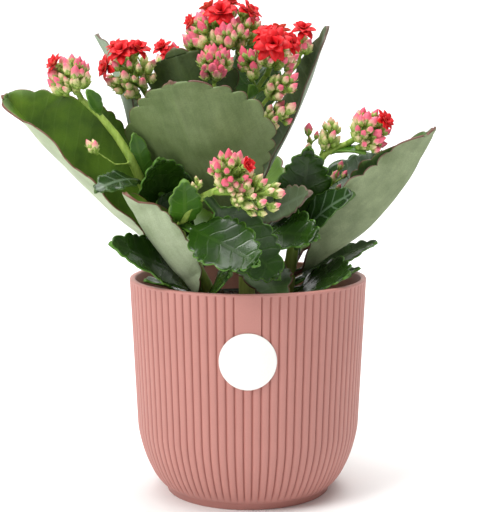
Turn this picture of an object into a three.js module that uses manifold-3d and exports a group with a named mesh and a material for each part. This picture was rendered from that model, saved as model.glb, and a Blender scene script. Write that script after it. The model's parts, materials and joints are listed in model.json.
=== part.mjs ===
// A kalanchoe in flower, in its nursery pot, standing in a ribbed plastic cover pot.
// Millimetres, +Z up, origin at the centre of the cover pot's underside, front towards -Y.
import * as THREE from "three";
import { mergeVertices } from "three/addons/utils/BufferGeometryUtils.js";
import Module from "manifold-3d";

const wasm = await Module();
wasm.setup();

// ---------------------------------------------------------------- driving dimensions

const SEAT_GAP = 0.3; // air left between two pieces that rest on each other

const coverPot = {
  height: 128,
  rimRadius: 70,
  taper: 4, // how much narrower the straight side is where the round base begins
  shoulderHeight: 42,
  heelInset: 20.5, // from the rim's radius in to where the round base meets the foot
  footHeight: 3.2,
  footInset: 1, // from the heel in to the foot
  baseFullness: 1.7, // exponent of the round base: 2 is a plain ellipse
  wall: 3.4,
  floor: 3,
  ribs: 86,
  ribDepth: 0.9,
  lipHeight: 1.8, // smooth band above the ribs
  panelRibs: 3, // ribs left out for the smooth panel at the front
  panelDrop: 44, // from the rim down to the panel's lower end
};

const label = { radius: 16, thickness: 0.6, drop: 37.5 }; // drop: from the rim to its centre

const nurseryPot = {
  sunk: 17, // from the cover pot's rim down to its own
  clearance: 4.6, // between its rim and the cover pot's inside
  heelClearance: 7.5, // from the cover pot's heel in to its base
  wall: 1.2,
  lipWidth: 2,
  lipHeight: 5,
  drainHoles: 6,
  drainRadius: 1.7,
  drainShare: 0.7, // of the base's radius
};

const soil = { crown: 3, stemDepth: 10 };

const leafBlade = {
  thickness: 1.5,
  petioleThickness: 3,
  petioleWidth: 5,
  petioleShare: 0.16, // of the leaf's length
  stations: 7,
  across: 5, // points across the blade
  widest: 0.5, // of the blade's length, from its base
  fullness: 0.62, // exponent of the outline: smaller is rounder
};

const headShape = {
  sides: 9,
  neck: 1.4, // radius of the short stalk
  // [share of the head's height, share of its radius] above the stalk
  dome: [[0.45, 0.62], [0.68, 1], [0.86, 0.86], [0.97, 0.45]],
  stalkShare: 0.22,
};

// The plant is laid out from the middle of the soil's surface. Every stem is a tube through its
// points, from its foot in the soil, or, with "on", from a place along the stem it branches off.
const stems = {
  stem_left: {
    points: [[-20, -6, -soil.stemDepth], [-32, -12, 26], [-56, -24, 62], [-65, -35, 86], [-79, -36, 107],
      [-93, -34, 120]],
    radii: [5, 1.9],
  },
  branch_left_small: { on: "stem_left", at: 0.7, points: [[-73, -43, 84], [-80, -46, 86], [-83, -47, 91]],
    radii: [1, 0.9] },
  stem_centre: {
    points: [[0, 4, -soil.stemDepth], [-2, 4, 30], [-8, 1, 80], [-10, -5, 121], [-11, -6, 138]],
    radii: [5.5, 2],
  },
  branch_upper_left: { on: "stem_centre", at: 0.5, points: [[-26, 8, 92], [-46, 8, 112], [-58, -3, 121]],
    radii: [2.4, 1.6] },
  branch_centre_left: { on: "stem_centre", at: 0.66, points: [[-18, -12, 108], [-19, -20, 130]],
    radii: [1.8, 1.4] },
  branch_centre_right: { on: "stem_centre", at: 0.58, points: [[-2, -6, 104], [4, -12, 124], [11, -15, 134]],
    radii: [2.4, 1.7] },
  stem_right: {
    points: [[21, 0, -soil.stemDepth], [26, -2, 28], [33, -6, 66], [42, -11, 86], [58, -17, 95]],
    radii: [5, 1.8],
  },
  branch_right_upper: { on: "stem_centre", at: 0.6, points: [[2, 4, 108], [20, 6, 128], [30, 4, 141]],
    radii: [2, 1.3] },
  stem_front: {
    points: [[-14, -26, -soil.stemDepth], [-26, -34, 20], [-38, -44, 44], [-34, -53, 58], [-24, -61, 68],
      [-12, -63, 74]],
    radii: [4.5, 1.9],
  },
};

// A leaf grows on a stem at a share of its length. faces is the side its upper surface looks to,
// fold the angle each half is raised at the midrib, curl what each half gains by its margin,
// arch the rise of the midrib in millimetres.
const leaves = {
  leaf_left_large: { on: "stem_left", at: 0.16, tip: [-138, -25, 122], width: 86, faces: [0.68, -0.5, 0.54],
    fold: 34, curl: 20, arch: -8 },
  leaf_left_low: { on: "stem_left", at: 0.1, tip: [-76, -64, 44], width: 30, faces: [0.2, -0.7, 0.7],
    fold: 8, curl: 12, arch: 2 },
  leaf_left_veined: { on: "stem_left", at: 0.62, tip: [-83, -64, 70], width: 16, faces: [0, -0.75, 0.66],
    fold: 6, curl: 12, arch: 4 },
  leaf_left_upright: { on: "stem_left", at: 0.4, tip: [-50, -49, 87], width: 34, faces: [0.25, -0.9, 0.3],
    fold: 8, curl: 14, arch: -3 },
  bract_left_stem: { on: "stem_left", at: 0.5, tip: [-64, -36, 102], width: 12, faces: [0.2, -0.9, 0.2],
    fold: 6, curl: 10, arch: 2 },
  bract_left_top: { on: "stem_left", at: 0.9, tip: [-89, -43, 126], width: 9, faces: [0.3, -0.8, 0.4],
    fold: 8, curl: 16, arch: 1 },
  leaf_left_rim: { on: "stem_left", at: 0.065, tip: [-60, -28, 17], width: 14, faces: [0.1, -0.3, 0.95],
    fold: 8, curl: 12, arch: 2 },
  leaf_back_spike: { on: "stem_left", at: 0.66, tip: [-91, 26, 157], width: 22, faces: [0.9, -0.1, 0.4],
    fold: 34, curl: 14, arch: 4 },
  leaf_back_left: { on: "stem_left", at: 0.11, tip: [-66, 80, 66], width: 56, faces: [0.2, -0.5, 0.8],
    fold: 10, curl: 16, arch: 4 },
  leaf_centre_large: { on: "stem_centre", at: 0.34, tip: [-35, -62, 131], width: 92, faces: [0.2, 0.8, 0.5],
    fold: 6, curl: 22, arch: -10, widest: 0.6 },
  leaf_centre_back: { on: "stem_centre", at: 0.46, tip: [-46, -16, 147], width: 58, faces: [0.15, 0.9, 0.3],
    fold: 8, curl: 20, arch: -3, widest: 0.6 },
  leaf_top_back: { on: "stem_centre", at: 0.62, tip: [12, 42, 164], width: 34, faces: [-0.1, -0.9, 0.2],
    fold: 12, curl: 14, arch: -6 },
  leaf_centre_grey: { on: "stem_centre", at: 0.39, tip: [35, -45, 70], width: 20, faces: [0.3, -0.85, 0.4],
    fold: 8, curl: 12, arch: -3 },
  leaf_centre_low: { on: "stem_centre", at: 0.29, tip: [39, -49, 42], width: 33, faces: [0.2, -0.8, 0.5],
    fold: 6, curl: 12, arch: 6 },
  bract_centre: { on: "branch_centre_right", at: 0.7, tip: [1, -24, 128], width: 9, faces: [0.2, -0.9, 0.3],
    fold: 6, curl: 10, arch: 1 },
  leaf_back_centre: { on: "stem_centre", at: 0.3, tip: [-10, 104, 92], width: 66, faces: [0, -0.6, 0.8],
    fold: 14, curl: 20, arch: -8 },
  leaf_back_low: { on: "stem_centre", at: 0.14, tip: [6, 72, 54], width: 52, faces: [0, -0.6, 0.8],
    fold: 6, curl: 12, arch: 3 },
  leaf_right_large: { on: "stem_right", at: 0.21, tip: [105, -24, 104], width: 60, faces: [-0.7, 0.05, 0.7],
    fold: 58, curl: 16, arch: -14 },
  leaf_right_back: { on: "stem_right", at: 0.42, tip: [80, 33, 88], width: 38, faces: [-0.3, -0.7, 0.6],
    fold: 10, curl: 14, arch: -4 },
  leaf_right_veined: { on: "stem_right", at: 0.34, tip: [61, -32, 68], width: 26, faces: [-0.2, -0.6, 0.7],
    fold: 8, curl: 14, arch: 5 },
  leaf_right_low: { on: "stem_right", at: 0.165, tip: [78, 20, 34], width: 20, faces: [0, -0.3, 0.9],
    fold: 12, curl: 12, arch: 0 },
  leaf_rim_right: { on: "stem_right", at: 0.092, tip: [58, -44, 23], width: 37, faces: [-0.1, -0.55, 0.8],
    fold: 6, curl: 10, arch: 2 },
  leaf_rim_small: { on: "stem_right", at: 0.14, tip: [66, -11, 22], width: 12, faces: [0, -0.4, 0.9],
    fold: 8, curl: 12, arch: -2 },
  leaf_right_broad: { on: "stem_right", at: 0.5, tip: [36, -26, 92], width: 34, faces: [0.1, -0.9, 0.2],
    fold: 8, curl: 12, arch: -2 },
  leaf_right_tall: { on: "stem_centre", at: 0.42, tip: [46, 6, 162], width: 30, faces: [-0.9, -0.45, 0.2],
    fold: 24, curl: 14, arch: -6 },
  leaf_back_right: { on: "stem_right", at: 0.25, tip: [66, 78, 66], width: 58, faces: [-0.3, -0.3, 0.8],
    fold: 14, curl: 18, arch: 4 },
  bract_right: { on: "stem_right", at: 0.86, tip: [68, -26, 89], width: 10, faces: [0, -0.3, 0.9],
    fold: 8, curl: 14, arch: 2 },
  leaf_front_pale: { on: "stem_front", at: 0.1, tip: [-67, -60, 70], width: 42, faces: [0.72, 0.1, 0.6],
    fold: 52, curl: 14, arch: -6 },
  leaf_front_round: { on: "stem_front", at: 0.65, tip: [5, -90, 33], width: 32, faces: [0.15, -0.93, 0.4],
    fold: 4, curl: 10, arch: 2 },
  leaf_front_under: { on: "stem_front", at: 0.89, tip: [17, -54, 20], width: 32, faces: [0.1, -0.95, 0.25],
    fold: 6, curl: 12, arch: -6 },
  leaf_front_hanging: { on: "stem_centre", at: 0.25, tip: [17, -57, 8], width: 30, faces: [0, -0.5, 0.85],
    fold: 8, curl: 14, arch: 3 },
  leaf_front_dark: { on: "stem_left", at: 0.3, tip: [-50, -37, 67], width: 26, faces: [0.2, -0.85, 0.45],
    fold: 8, curl: 12, arch: 2 },
  leaf_front_low: { on: "stem_front", at: 0.19, tip: [-9, -58, 26], width: 30, faces: [0, -0.8, 0.6],
    fold: 6, curl: 10, arch: 1 },
  bract_front: { on: "stem_front", at: 0.67, tip: [-33, -71, 78], width: 19, faces: [0.1, -0.9, 0.2],
    fold: 8, curl: 12, arch: 1 },
};

// A flower head stands on a stem's end (at 1) or on its side, and opens towards its top.
const flowerHeads = {
  flowers_left: { on: "stem_left", at: 1, top: [-104, -42, 145], radius: 13 },
  flowers_left_small: { on: "branch_left_small", at: 1, top: [-87, -51, 100], radius: 4.5 },
  flowers_upper_left: { on: "branch_upper_left", at: 1, top: [-74, -28, 149], radius: 16 },
  flowers_upper_mid: { on: "branch_upper_left", at: 0.7, top: [-47, 10, 157], radius: 10 },
  flowers_top: { on: "stem_centre", at: 1, top: [-18, -8, 176], radius: 21 },
  flowers_centre_left: { on: "branch_centre_left", at: 1, top: [-18, -36, 150], radius: 11 },
  flowers_centre_mid: { on: "branch_centre_right", at: 0.82, top: [-2, -31, 152], radius: 7 },
  flowers_centre_right: { on: "branch_centre_right", at: 1, top: [20, -28, 158], radius: 14 },
  flowers_right_upper: { on: "branch_right_upper", at: 1, top: [33, 0, 162], radius: 8 },
  flowers_right_side: { on: "branch_centre_right", at: 0.8, top: [31, -36, 133], radius: 8 },
  flowers_right_lower: { on: "branch_centre_right", at: 0.45, top: [30, -33, 117], radius: 7 },
  flowers_right_inner: { on: "stem_right", at: 0.66, top: [38, -10, 110], radius: 4.5 },
  flowers_right: { on: "stem_right", at: 1, top: [79, -28, 110], radius: 14 },
  flowers_right_mid: { on: "stem_right", at: 0.82, top: [50, -17, 111], radius: 7 },
  flowers_right_low: { on: "stem_right", at: 0.44, top: [59, -6, 86], radius: 6 },
  flowers_front: { on: "stem_front", at: 1, top: [-6, -88, 90], radius: 13 },
  flowers_front_right: { on: "stem_front", at: 0.92, top: [22, -84, 70], radius: 12 },
  flowers_front_small: { on: "stem_front", at: 0.8, top: [-26, -70, 83], radius: 3.5 },
};

const colours = {
  pot: "#c98f84",
  label: "#f6f5f1",
  nurseryPot: "#2a2624",
  soil: "#2b211b",
  stem: "#7f9a4a",
  leaf: "#4c6a35",
  flowers: "#d8485a",
};

// ---------------------------------------------------------------- small helpers

const rad = THREE.MathUtils.degToRad;

/** Points around a circle, counted from the first axis towards the second. */
function circle(centre, first, second, radius, sides) {
  return Array.from({ length: sides }, (_, j) => {
    const turn = (j / sides) * 2 * Math.PI;
    return centre
      .clone()
      .addScaledVector(first, Math.cos(turn) * radius)
      .addScaledVector(second, Math.sin(turn) * radius);
  });
}

/** A closed solid through rings of equal length, each a list of points, with both ends capped. */
function loft(rings) {
  const count = rings[0].length;
  const positions = rings.flat().flatMap((p) => [p.x, p.y, p.z]);
  const indices = [];
  for (let i = 0; i + 1 < rings.length; i++) {
    for (let j = 0; j < count; j++) {
      const a = i * count + j;
      const b = i * count + ((j + 1) % count);
      indices.push(a, b, a + count, b, b + count, a + count);
    }
  }
  const cap = (ring, start, flip) => {
    const centre = ring.reduce((sum, p) => sum.add(p), new THREE.Vector3()).divideScalar(count);
    const hub = positions.length / 3;
    positions.push(centre.x, centre.y, centre.z);
    for (let j = 0; j < count; j++) {
      const a = start + j;
      const b = start + ((j + 1) % count);
      indices.push(...(flip ? [hub, b, a] : [hub, a, b]));
    }
  };
  cap(rings[0], 0, true);
  cap(rings.at(-1), (rings.length - 1) * count, false);
  return new THREE.BufferGeometry()
    .setAttribute("position", new THREE.Float32BufferAttribute(positions, 3))
    .setIndex(indices);
}

/** A three.js geometry as a manifold solid, for cutting and joining. */
function solidOf(geometry) {
  const bare = geometry.clone();
  bare.deleteAttribute("normal");
  bare.deleteAttribute("uv");
  const merged = mergeVertices(bare, 1e-4);
  return new wasm.Manifold(
    new wasm.Mesh({
      numProp: 3,
      vertProperties: merged.attributes.position.array,
      triVerts: new Uint32Array(merged.index.array),
    }),
  );
}

/** A manifold solid back as a three.js geometry. */
function geometryOf(solid) {
  const mesh = solid.getMesh();
  return new THREE.BufferGeometry()
    .setAttribute("position", new THREE.BufferAttribute(mesh.vertProperties, 3))
    .setIndex(new THREE.BufferAttribute(mesh.triVerts, 1));
}

// ---------------------------------------------------------------- cover pot and label

const shoulderRadius = coverPot.rimRadius - coverPot.taper;
const heelRadius = coverPot.rimRadius - coverPot.heelInset;
const footRadius = heelRadius - coverPot.footInset;
const panelBottom = coverPot.height - coverPot.panelDrop;

/** The cover pot's outer radius at a height, over the crests of its ribs. */
function potRadius(z) {
  const { shoulderHeight, height, footHeight, taper, baseFullness } = coverPot;
  if (z >= shoulderHeight) {
    return shoulderRadius + (taper * (z - shoulderHeight)) / (height - shoulderHeight);
  }
  const drop = (shoulderHeight - z) / (shoulderHeight - footHeight);
  return heelRadius + (1 - drop ** baseFullness) ** (1 / baseFullness) * (shoulderRadius - heelRadius);
}

/** One ring of the cover pot's outside: crest and groove turn about, smooth over the front panel. */
function ribbedRing(radius, z, depth) {
  const count = coverPot.ribs * 2;
  return Array.from({ length: count }, (_, i) => {
    const turn = (i / count) * 2 * Math.PI;
    const fromFront = Math.min(i, count - i);
    const onPanel = z >= panelBottom && fromFront <= coverPot.panelRibs;
    const r = radius - (i % 2 && !onPanel ? depth : 0);
    return new THREE.Vector3(r * Math.sin(turn), -r * Math.cos(turn), z);
  });
}

/** Solid of revolution about Z through [radius, height] points that start and end on the axis. */
function turned(profile, segments) {
  const outline = profile.map(([r, z]) => new THREE.Vector2(r, z));
  return new THREE.LatheGeometry(outline, segments).rotateX(Math.PI / 2);
}

function makeCoverPot() {
  const { height, footHeight, ribDepth, lipHeight, shoulderHeight, wall, floor } = coverPot;
  const top = height - lipHeight;
  const rings = [
    ribbedRing(footRadius, 0, 0),
    ribbedRing(footRadius + 1.2, footHeight, 0),
    ribbedRing(heelRadius + 1.2, footHeight + 0.8, ribDepth / 2),
  ];
  for (const share of [0.22, 0.5, 1]) {
    const z = footHeight + share * (shoulderHeight - footHeight);
    rings.push(ribbedRing(potRadius(z), z, ribDepth));
  }
  for (const z of [panelBottom - 3, panelBottom, top - 1]) {
    rings.push(ribbedRing(potRadius(z), z, ribDepth));
  }
  rings.push(ribbedRing(potRadius(top), top, 0));
  rings.push(ribbedRing(coverPot.rimRadius - 0.8, height, 0));
  const inside = [[0, floor], [potRadius(footHeight) - wall - 2, floor]];
  for (const share of [0.12, 0.35, 0.65, 1]) {
    const z = floor + share * (shoulderHeight - floor);
    inside.push([potRadius(Math.max(z, footHeight)) - wall, z]);
  }
  const mouth = coverPot.rimRadius - wall;
  inside.push([mouth, height - 1], [mouth + 0.8, height], [mouth + 0.8, height + 5], [0, height + 5]);
  const outer = solidOf(loft(rings));
  return geometryOf(outer.subtract(solidOf(turned(inside, 48))));
}

function makeLabel() {
  const { radius, thickness, drop } = label;
  const centre = coverPot.height - drop;
  const low = centre - 1.1 * radius;
  const high = centre + 1.1 * radius;
  const shell = (gap) => {
    const side = [[0, low], [potRadius(low) + gap, low], [potRadius(high) + gap, high], [0, high]];
    return solidOf(turned(side, 90));
  };
  const length = coverPot.rimRadius;
  const punch = new THREE.CylinderGeometry(radius, radius, length, 28);
  punch.translate(0, -length / 2 - 10, centre);
  const sheet = shell(SEAT_GAP + thickness).subtract(shell(SEAT_GAP));
  return geometryOf(sheet.intersect(solidOf(punch)));
}

// ---------------------------------------------------------------- nursery pot and soil

const nurseryBottom = coverPot.floor + SEAT_GAP;
const nurseryTop = coverPot.height - nurseryPot.sunk;
const nurseryRim = potRadius(nurseryTop) - coverPot.wall - nurseryPot.clearance;
const nurseryBase = heelRadius - nurseryPot.heelClearance;
const soilTop = nurseryTop + soil.crown - nurseryPot.wall;

/** The nursery pot's outer radius at a height, under its lip. */
function nurseryRadius(z) {
  const share = (z - nurseryBottom) / (nurseryTop - nurseryBottom);
  return nurseryBase + share * (nurseryRim - nurseryPot.lipWidth - nurseryBase);
}

function makeNurseryPot() {
  const { wall, lipHeight, drainHoles, drainRadius, drainShare } = nurseryPot;
  const lipBottom = nurseryTop - lipHeight;
  const body = solidOf(
    turned(
      [[0, nurseryBottom], [nurseryBase, nurseryBottom], [nurseryRadius(lipBottom), lipBottom],
        [nurseryRim, lipBottom], [nurseryRim, nurseryTop], [nurseryRim - wall, nurseryTop],
        [nurseryRadius(nurseryTop) - wall, nurseryTop - wall], [nurseryBase - wall, nurseryBottom + wall],
        [0, nurseryBottom + wall]],
      32,
    ),
  );
  const drills = Array.from({ length: drainHoles }, (_, i) => {
    const turn = (i / drainHoles) * 2 * Math.PI;
    const drill = new THREE.CylinderGeometry(drainRadius, drainRadius, 4 * wall, 8).rotateX(Math.PI / 2);
    const out = drainShare * nurseryBase;
    return solidOf(drill.translate(out * Math.cos(turn), out * Math.sin(turn), nurseryBottom));
  });
  return geometryOf(drills.reduce((pot, drill) => pot.subtract(drill), body));
}

/** The soil fills the nursery pot and is hollowed where the stems stand in it. */
function makeSoil(grownStems) {
  const { wall } = nurseryPot;
  const low = nurseryBottom + wall + SEAT_GAP;
  const edge = soilTop - soil.crown;
  const inner = (z) => nurseryRadius(z) - wall - SEAT_GAP - 0.2;
  const filling = turned(
    [[0, low], [inner(low) - 0.3, low], [inner(edge - 1), edge - 1], [inner(edge) - 4, edge],
      [inner(edge) * 0.6, soilTop - 0.6], [0, soilTop]],
    24,
  );
  return geometryOf(grownStems.reduce((ball, stem) => ball.subtract(stem), solidOf(filling)));
}

// ---------------------------------------------------------------- stems

/** A point of the plant's layout, placed on the soil. */
const onSoil = ([x, y, z]) => new THREE.Vector3(x, y, z + soilTop);

/** A stem's curve, and its radius at a share of its length. */
function stemLine(name) {
  const { on, at, points, radii } = stems[name];
  const start = on ? [stemLine(on).curve.getPointAt(at)] : [];
  const curve = new THREE.CatmullRomCurve3([...start, ...points.map(onSoil)], false, "centripetal");
  return { curve, radiusAt: (share) => radii[0] + share * (radii[1] - radii[0]) };
}

/** A round tube along a stem, its radius grown by a margin. */
function stemTube(name, grow = 0) {
  const { curve, radiusAt } = stemLine(name);
  const sides = radiusAt(0) > 1.5 ? 8 : 6;
  const steps = Math.ceil(curve.getLength() / 15);
  const frames = curve.computeFrenetFrames(steps, false);
  const rings = [];
  for (let i = 0; i <= steps; i++) {
    const stretch = i === 0 ? -grow : i === steps ? grow : 0;
    const centre = curve.getPointAt(i / steps).addScaledVector(frames.tangents[i], stretch);
    const radius = radiusAt(i / steps) + grow;
    rings.push(circle(centre, frames.normals[i], frames.binormals[i], radius, sides));
  }
  return solidOf(loft(rings));
}

/** A stem with all its branches as one solid, grown by a margin. */
function stemSolid(name, grow = 0) {
  const branches = Object.keys(stems).filter((other) => stems[other].on === name);
  return branches.reduce((whole, other) => whole.add(stemTube(other, grow)), stemTube(name, grow));
}

/** The stem that a branch belongs to, or the stem itself. */
const rootOf = (name) => stems[name].on ?? name;

/** Cuts a piece back to the surface of the stem it grows on and keeps its larger part. */
function cutAtStem(piece, name) {
  const parts = piece.subtract(stemSolid(rootOf(name), SEAT_GAP)).decompose();
  return geometryOf(parts.sort((a, b) => b.volume() - a.volume())[0]);
}

// ---------------------------------------------------------------- leaves

/** Half the blade's width at a share of the leaf's length, as a share of its widest. */
function bladeOutline(share, widest) {
  const { petioleShare, fullness } = leafBlade;
  const along = (share - petioleShare) / (1 - petioleShare);
  return along <= 0 ? 0 : Math.sin(Math.PI * along ** (Math.log(0.5) / Math.log(widest))) ** fullness;
}

/** One thin closed section of a leaf, across its midrib. */
function leafSection(leaf, base, share) {
  const chord = onSoil(leaf.tip).sub(base);
  const along = chord.clone().normalize();
  const up = new THREE.Vector3(...leaf.faces).projectOnPlane(along).normalize();
  const centre = base.clone().addScaledVector(chord, share);
  centre.addScaledVector(up, leaf.arch * 4 * share * (1 - share));
  const tangent = chord.clone().addScaledVector(up, leaf.arch * 4 * (1 - 2 * share)).normalize();
  const normal = up.clone().projectOnPlane(tangent).normalize();
  const side = new THREE.Vector3().crossVectors(tangent, normal);

  const blade = bladeOutline(share, leaf.widest ?? leafBlade.widest);
  const slim = Math.min(1, leaf.width / 20);
  const half = Math.max((leaf.width / 2) * blade, (leafBlade.petioleWidth / 2) * slim);
  const opened = Math.min(1, blade * 1.6);
  const fold = rad(leaf.fold) * opened;
  const curl = Math.max(rad(leaf.curl) * opened, 0.01);
  const thick = THREE.MathUtils.lerp(leafBlade.petioleThickness, leafBlade.thickness, opened);

  const point = (across, face) => {
    const v = Math.abs(across);
    const x = (half * (Math.sin(fold + curl * v) - Math.sin(fold))) / curl;
    const h = (half * (Math.cos(fold) - Math.cos(fold + curl * v))) / curl;
    const slope = fold * Math.min(1, v * 4) + curl * v;
    const offset = (face * thick * slim) / 2;
    return centre
      .clone()
      .addScaledVector(side, Math.sign(across) * (x - offset * Math.sin(slope)))
      .addScaledVector(normal, h + offset * Math.cos(slope));
  };
  const spread = Array.from({ length: leafBlade.across }, (_, i) => (2 * i) / (leafBlade.across - 1) - 1);
  return [...spread.map((v) => point(v, 1)), ...spread.toReversed().map((v) => point(v, -1))];
}

/** A leaf with its petiole, cut back to the surface of the stem it grows on. */
function makeLeaf(leaf) {
  const base = stemLine(leaf.on).curve.getPointAt(leaf.at);
  const rings = [];
  for (let i = 0; i <= leafBlade.stations; i++) {
    const share = i / leafBlade.stations;
    rings.push(leafSection(leaf, base, 0.99 * Math.sin((share * Math.PI) / 2) ** 1.1)); // closer by the tip
  }
  return cutAtStem(solidOf(loft(rings)), leaf.on);
}

// ---------------------------------------------------------------- flower heads

/** A flower head's outer shape: a short stalk that widens to a dome of buds and flowers. */
function makeFlowerHead({ on, at, top, radius }) {
  const base = stemLine(on).curve.getPointAt(at);
  const rise = onSoil(top).sub(base);
  const along = rise.clone().normalize();
  const first = new THREE.Vector3(0, 1, 0).projectOnPlane(along).normalize();
  const second = new THREE.Vector3().crossVectors(along, first);
  const neck = Math.min(headShape.neck, radius / 4);
  const dome = headShape.dome.map(([share, width]) => [share, width * radius]);
  const profile = [[0, neck], [headShape.stalkShare, neck], ...dome];
  const rings = profile.map(([share, r]) =>
    circle(base.clone().addScaledVector(rise, share), first, second, r, headShape.sides),
  );
  return cutAtStem(solidOf(loft(rings)), on);
}

// ---------------------------------------------------------------- assembly

const plant = new THREE.Group();

function add(name, geometry, colour, roughness = 0.6) {
  const mesh = new THREE.Mesh(
    geometry,
    new THREE.MeshStandardMaterial({ color: colour, roughness, metalness: 0 }),
  );
  mesh.name = name;
  plant.add(mesh);
}

const rooted = Object.keys(stems).filter((name) => !stems[name].on);
add("cover_pot", makeCoverPot(), colours.pot, 0.55);
add("pot_label", makeLabel(), colours.label, 0.5);
add("nursery_pot", makeNurseryPot(), colours.nurseryPot, 0.5);
add("soil", makeSoil(rooted.map((name) => stemSolid(name, SEAT_GAP))), colours.soil, 1);
for (const name of rooted) add(name, geometryOf(stemSolid(name)), colours.stem);
for (const [name, leaf] of Object.entries(leaves)) add(name, makeLeaf(leaf), colours.leaf, 0.4);
for (const [name, head] of Object.entries(flowerHeads)) add(name, makeFlowerHead(head), colours.flowers);

export default plant;
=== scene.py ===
"""The looks of a double-flowered kalanchoe in its nursery pot, standing in a ribbed cover pot.

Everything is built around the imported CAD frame, in metres, +Z up, with the front towards -Y. Sizes
are written in millimetres. Places are read from the frame.
"""

import functools
import json
import logging
import math
import random
from dataclasses import dataclass
from enum import Enum

import bpy
import numpy as np
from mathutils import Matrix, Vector, noise
from mathutils.bvhtree import BVHTree

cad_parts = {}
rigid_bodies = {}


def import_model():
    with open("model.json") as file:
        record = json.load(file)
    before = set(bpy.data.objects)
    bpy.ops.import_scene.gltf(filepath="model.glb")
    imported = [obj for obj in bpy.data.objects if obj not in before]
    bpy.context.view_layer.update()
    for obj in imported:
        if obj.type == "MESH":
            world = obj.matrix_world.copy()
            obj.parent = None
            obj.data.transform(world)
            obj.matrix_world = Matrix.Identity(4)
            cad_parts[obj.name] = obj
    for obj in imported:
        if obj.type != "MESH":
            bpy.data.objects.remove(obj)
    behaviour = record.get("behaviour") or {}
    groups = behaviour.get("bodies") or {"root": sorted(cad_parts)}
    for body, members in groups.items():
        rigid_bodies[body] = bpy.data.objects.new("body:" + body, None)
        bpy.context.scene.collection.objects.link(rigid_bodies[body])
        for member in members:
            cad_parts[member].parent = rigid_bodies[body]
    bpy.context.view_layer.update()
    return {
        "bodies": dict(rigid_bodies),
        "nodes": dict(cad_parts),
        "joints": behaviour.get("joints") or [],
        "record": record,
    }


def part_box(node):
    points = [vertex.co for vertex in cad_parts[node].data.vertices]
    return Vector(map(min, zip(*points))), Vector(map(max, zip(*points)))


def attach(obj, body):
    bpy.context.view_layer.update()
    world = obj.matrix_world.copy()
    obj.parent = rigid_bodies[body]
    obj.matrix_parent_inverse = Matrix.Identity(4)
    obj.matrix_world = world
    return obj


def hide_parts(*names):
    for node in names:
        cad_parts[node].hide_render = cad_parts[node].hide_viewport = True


MM = 0.001
BODY = "root"
DOUBLES = 1e-6  # metres
SEED = 11
GOLDEN_TURN = math.pi * (3 - math.sqrt(5))
LEAF_IOR = 1.42
VEIN_LEAN = 0.75  # how far along the leaf a side vein runs for each step out from the midrib

# Inputs that have no name of their own: a colour mix's, and a map range's.
SHARE, TONE_A, TONE_B = 0, 6, 7
LOW_IN, HIGH_IN, LOW_OUT, HIGH_OUT = 1, 2, 3, 4

# A crumb of soil: a lumpy octahedron of unit size.
CRUMB = np.array([[0, 0, 1], [1, 0, 0.2], [0.2, 1, 0], [-1, 0.1, 0.1], [0, -1, -0.2], [0.1, 0, -1]],
                 float)
CRUMB_FACES = ((0, 1, 2), (0, 2, 3), (0, 3, 4), (0, 4, 1), (5, 2, 1), (5, 3, 2), (5, 4, 3),
               (5, 1, 4))

log = logging.getLogger("kalanchoe")

Direction = tuple[float, float, float]


# ------------------------------------------------------------------ small helpers


def linear(code: str) -> tuple[float, float, float, float]:
    """Turns an sRGB hex colour into linear light.

    Args:
        code: the colour as "#rrggbb".

    Returns:
        Red, green, blue and an alpha of 1.
    """
    parts = [int(code[i : i + 2], 16) / 255 for i in (1, 3, 5)]
    light = [p / 12.92 if p <= 0.04045 else ((p + 0.055) / 1.055) ** 2.4 for p in parts]
    return (*light, 1.0)


def add_node(tree: bpy.types.NodeTree, kind: str, inputs: dict | None = None,
             **settings) -> bpy.types.Node:
    """Adds one shader node with its settings, values and links.

    Args:
        tree: the material's node tree.
        kind: the node's type.
        inputs: for each input, by name or number, a value or the socket that feeds it.
        settings: the node's own properties.

    Returns:
        The new node.
    """
    made = tree.nodes.new(kind)
    for name, value in settings.items():
        setattr(made, name, value)
    for key, value in (inputs or {}).items():
        if isinstance(value, bpy.types.NodeSocket):
            tree.links.new(value, made.inputs[key])
        else:
            made.inputs[key].default_value = value
    return made


def unit(vector: np.ndarray) -> np.ndarray:
    """The same direction with a length of 1.

    Args:
        vector: one vector, or rows of them.

    Returns:
        The unit vector or vectors.
    """
    return vector / np.maximum(np.linalg.norm(vector, axis=-1, keepdims=True), 1e-9)


def square_axes(along: np.ndarray) -> tuple[np.ndarray, np.ndarray]:
    """Two directions square to a direction and to each other.

    Args:
        along: the direction, with a length of 1.

    Returns:
        The two directions.
    """
    first = unit(np.cross(along, (0.0, 1.0, 0.05) if abs(along[1]) < 0.9 else (1.0, 0.0, 0.0)))
    return first, np.cross(along, first)


def scale_of(size_mm: float) -> float:
    """A texture's scale.

    Args:
        size_mm: how large one feature of the pattern is.

    Returns:
        The scale for coordinates in metres.
    """
    return 1 / (size_mm * MM)


def add_object(name: str, data: bpy.types.ID | None) -> bpy.types.Object:
    """Puts a mesh, a light or a camera in the scene.

    Args:
        name: the object's name.
        data: what it shows.

    Returns:
        The object.
    """
    made = bpy.data.objects.new(name, data)
    bpy.context.scene.collection.objects.link(made)
    return made


def ring_faces(rings: int, sides: int) -> list[tuple[int, ...]]:
    """The faces of a tube of rings, with one face over each end.

    Args:
        rings: how many rings of points there are.
        sides: points in a ring.

    Returns:
        The point numbers of each face, the two ends last.
    """
    faces = [(i * sides + j, i * sides + (j + 1) % sides, (i + 1) * sides + (j + 1) % sides,
              (i + 1) * sides + j)
             for i in range(rings - 1) for j in range(sides)]
    return faces + [tuple(range(sides))[::-1], tuple((rings - 1) * sides + j for j in range(sides))]


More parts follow.
